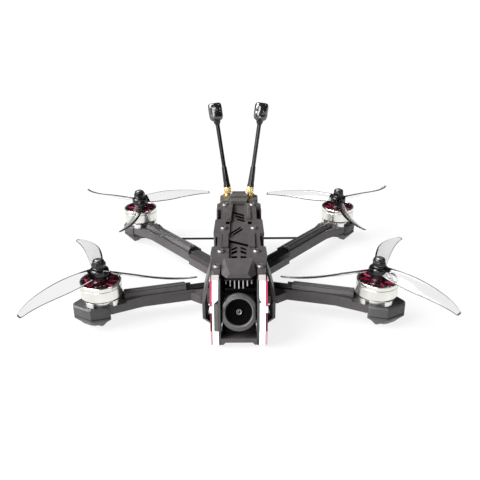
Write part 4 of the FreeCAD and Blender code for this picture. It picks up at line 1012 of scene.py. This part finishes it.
def make_camera():
    """Camera straight in front of the nose and a little above."""
    pitch, yaw, roll = (math.radians(angle) for angle in (CAMERA_PITCH, CAMERA_YAW, CAMERA_ROLL))
    forward = Vector((math.sin(yaw) * math.cos(pitch), math.cos(yaw) * math.cos(pitch),
                      -math.sin(pitch)))
    right = Vector((math.cos(yaw), -math.sin(yaw), 0.0))
    up = right.cross(forward)
    camera_right = right * math.cos(roll) + up * math.sin(roll)
    camera_up = up * math.cos(roll) - right * math.sin(roll)
    data = bpy.data.cameras.new("camera")
    data.sensor_width = CAMERA_SENSOR
    data.lens = CAMERA_LENS
    data.clip_start = 0.01
    camera = bpy.data.objects.new("camera", data)
    bpy.context.scene.collection.objects.link(camera)
    turn = Matrix((camera_right, camera_up, -forward)).transposed().to_4x4()
    camera.matrix_world = Matrix.Translation(CAMERA_PLACE) @ turn
    bpy.context.scene.camera = camera


def world_slope(tree, socket, factor, offset):
    """A value that grows along one axis of the world, kept between 0 and 1."""
    made = new_node(tree, "ShaderNodeMath", operation="MULTIPLY_ADD", use_clamp=True)
    tree.links.new(socket, made.inputs[0])
    made.inputs[1].default_value = factor
    made.inputs[2].default_value = offset
    return made.outputs[0]


def make_surroundings():
    """White to look at; as light, strong behind, weaker at the drone's right, dim in front."""
    world = bpy.data.worlds.new("studio")
    world.use_nodes = True
    tree = world.node_tree
    parts = new_node(tree, "ShaderNodeSeparateXYZ")
    tree.links.new(new_node(tree, "ShaderNodeTexCoord").outputs["Generated"], parts.inputs[0])
    total = new_node(tree, "ShaderNodeMath", operation="ADD")
    tree.links.new(world_slope(tree, parts.outputs["Y"], *LIGHT_BEHIND), total.inputs[0])
    tree.links.new(world_slope(tree, parts.outputs["X"], *LIGHT_RIGHT), total.inputs[1])
    lit = new_node(tree, "ShaderNodeMath", operation="ADD")
    tree.links.new(total.outputs[0], lit.inputs[0])
    lit.inputs[1].default_value = AMBIENT
    seen = new_node(tree, "ShaderNodeMix", data_type="FLOAT")
    camera_ray = new_node(tree, "ShaderNodeLightPath").outputs["Is Camera Ray"]
    tree.links.new(camera_ray, seen.inputs["Factor"])
    tree.links.new(lit.outputs[0], seen.inputs["A"])
    seen.inputs["B"].default_value = WHITE_BACKDROP
    tree.links.new(seen.outputs["Result"], tree.nodes["Background"].inputs["Strength"])
    bpy.context.scene.world = world


def make_floor():
    """White table that glows faintly, so its shadows stay pale."""
    white = Shader("white_table", (0.11, 0.11, 0.11), 0.9)
    white.vary_roughness(white.noise(20.0), 0.85, 0.95)
    white.set(Emission_Color=(1.0, 1.0, 1.0, 1.0), Emission_Strength=0.83, Specular_IOR_Level=0.05)
    mesh = bpy.data.meshes.new("floor")
    corners = [(x * FLOOR_REACH, y * FLOOR_REACH, 0)
               for x, y in ((-1, -1), (1, -1), (1, 1), (-1, 1))]
    mesh.from_pydata(corners, [], [(0, 1, 2, 3)])
    mesh.materials.append(white.material)
    floor = bpy.data.objects.new("floor", mesh)
    floor.location.z = -FLOOR_DROP
    bpy.context.scene.collection.objects.link(floor)


def place_light(data, place, direction):
    """Put a light in the scene, shining along a direction."""
    light = bpy.data.objects.new(data.name, data)
    light.location = place
    light.rotation_euler = Vector(direction).to_track_quat("-Z", "Y").to_euler()
    bpy.context.scene.collection.objects.link(light)


def make_soft_box(name, place, target, size, power):
    """A square light that also shows as a bright patch in glossy surfaces."""
    data = bpy.data.lights.new(name, "AREA")
    data.size = size
    data.energy = power
    place_light(data, place, Vector(target) - Vector(place))


def make_sun(name, strength, angle, direction):
    """Even light from one direction; the angle, in degrees, softens its shadows."""
    data = bpy.data.lights.new(name, "SUN")
    data.energy = strength
    data.angle = math.radians(angle)
    place_light(data, (0.0, 0.0, 0.0), direction)


def make_studio():
    """Plain colours, a pale table and surroundings, two suns and three soft boxes."""
    view = bpy.context.scene.view_settings
    view.view_transform = "Standard"
    view.look = "None"
    view.exposure = 0.0
    make_surroundings()
    make_floor()
    make_sun("overhead", strength=6.5, angle=45.0, direction=(0.85, 0.1, -1.0))
    make_sun("side", strength=1.2, angle=40.0, direction=(1.0, 0.45, -0.4))
    make_soft_box("left_box", (-0.9, -0.75, 0.75), target=(0.0, 0.0, 0.03), size=0.45, power=8.0)
    make_soft_box("front_box", (-0.3, -1.0, 0.35), target=(0.0, -0.05, 0.03), size=0.35, power=3.2)
    make_soft_box("right_box", (1.0, -0.6, 0.9), target=(0.0, 0.0, 0.03), size=0.3, power=2.5)


make_camera()
make_studio()

OWN_MATERIALS = {"tail_mount": TAIL_PLASTIC, "arm_covers": COVER_PLASTIC}
RECORD_SLOTS = {row["node"]: row["material_slot"] for row in frame["record"]["subparts"]}
for node_name in NODES:
    dress_node(node_name, OWN_MATERIALS.get(node_name, MATERIALS[RECORD_SLOTS[node_name]]))

for corner_name in CORNERS:
    make_bell(corner_name)
    make_nut(corner_name)
    make_propeller(corner_name)
make_stators()
make_antennas()
make_light_bars()
make_light_plates()
make_light_trims()
make_lens()
make_air_unit()
make_cover_ridges()
make_slot_painted_shades()
make_tray_edges()
make_landing_pad()
make_power_socket()
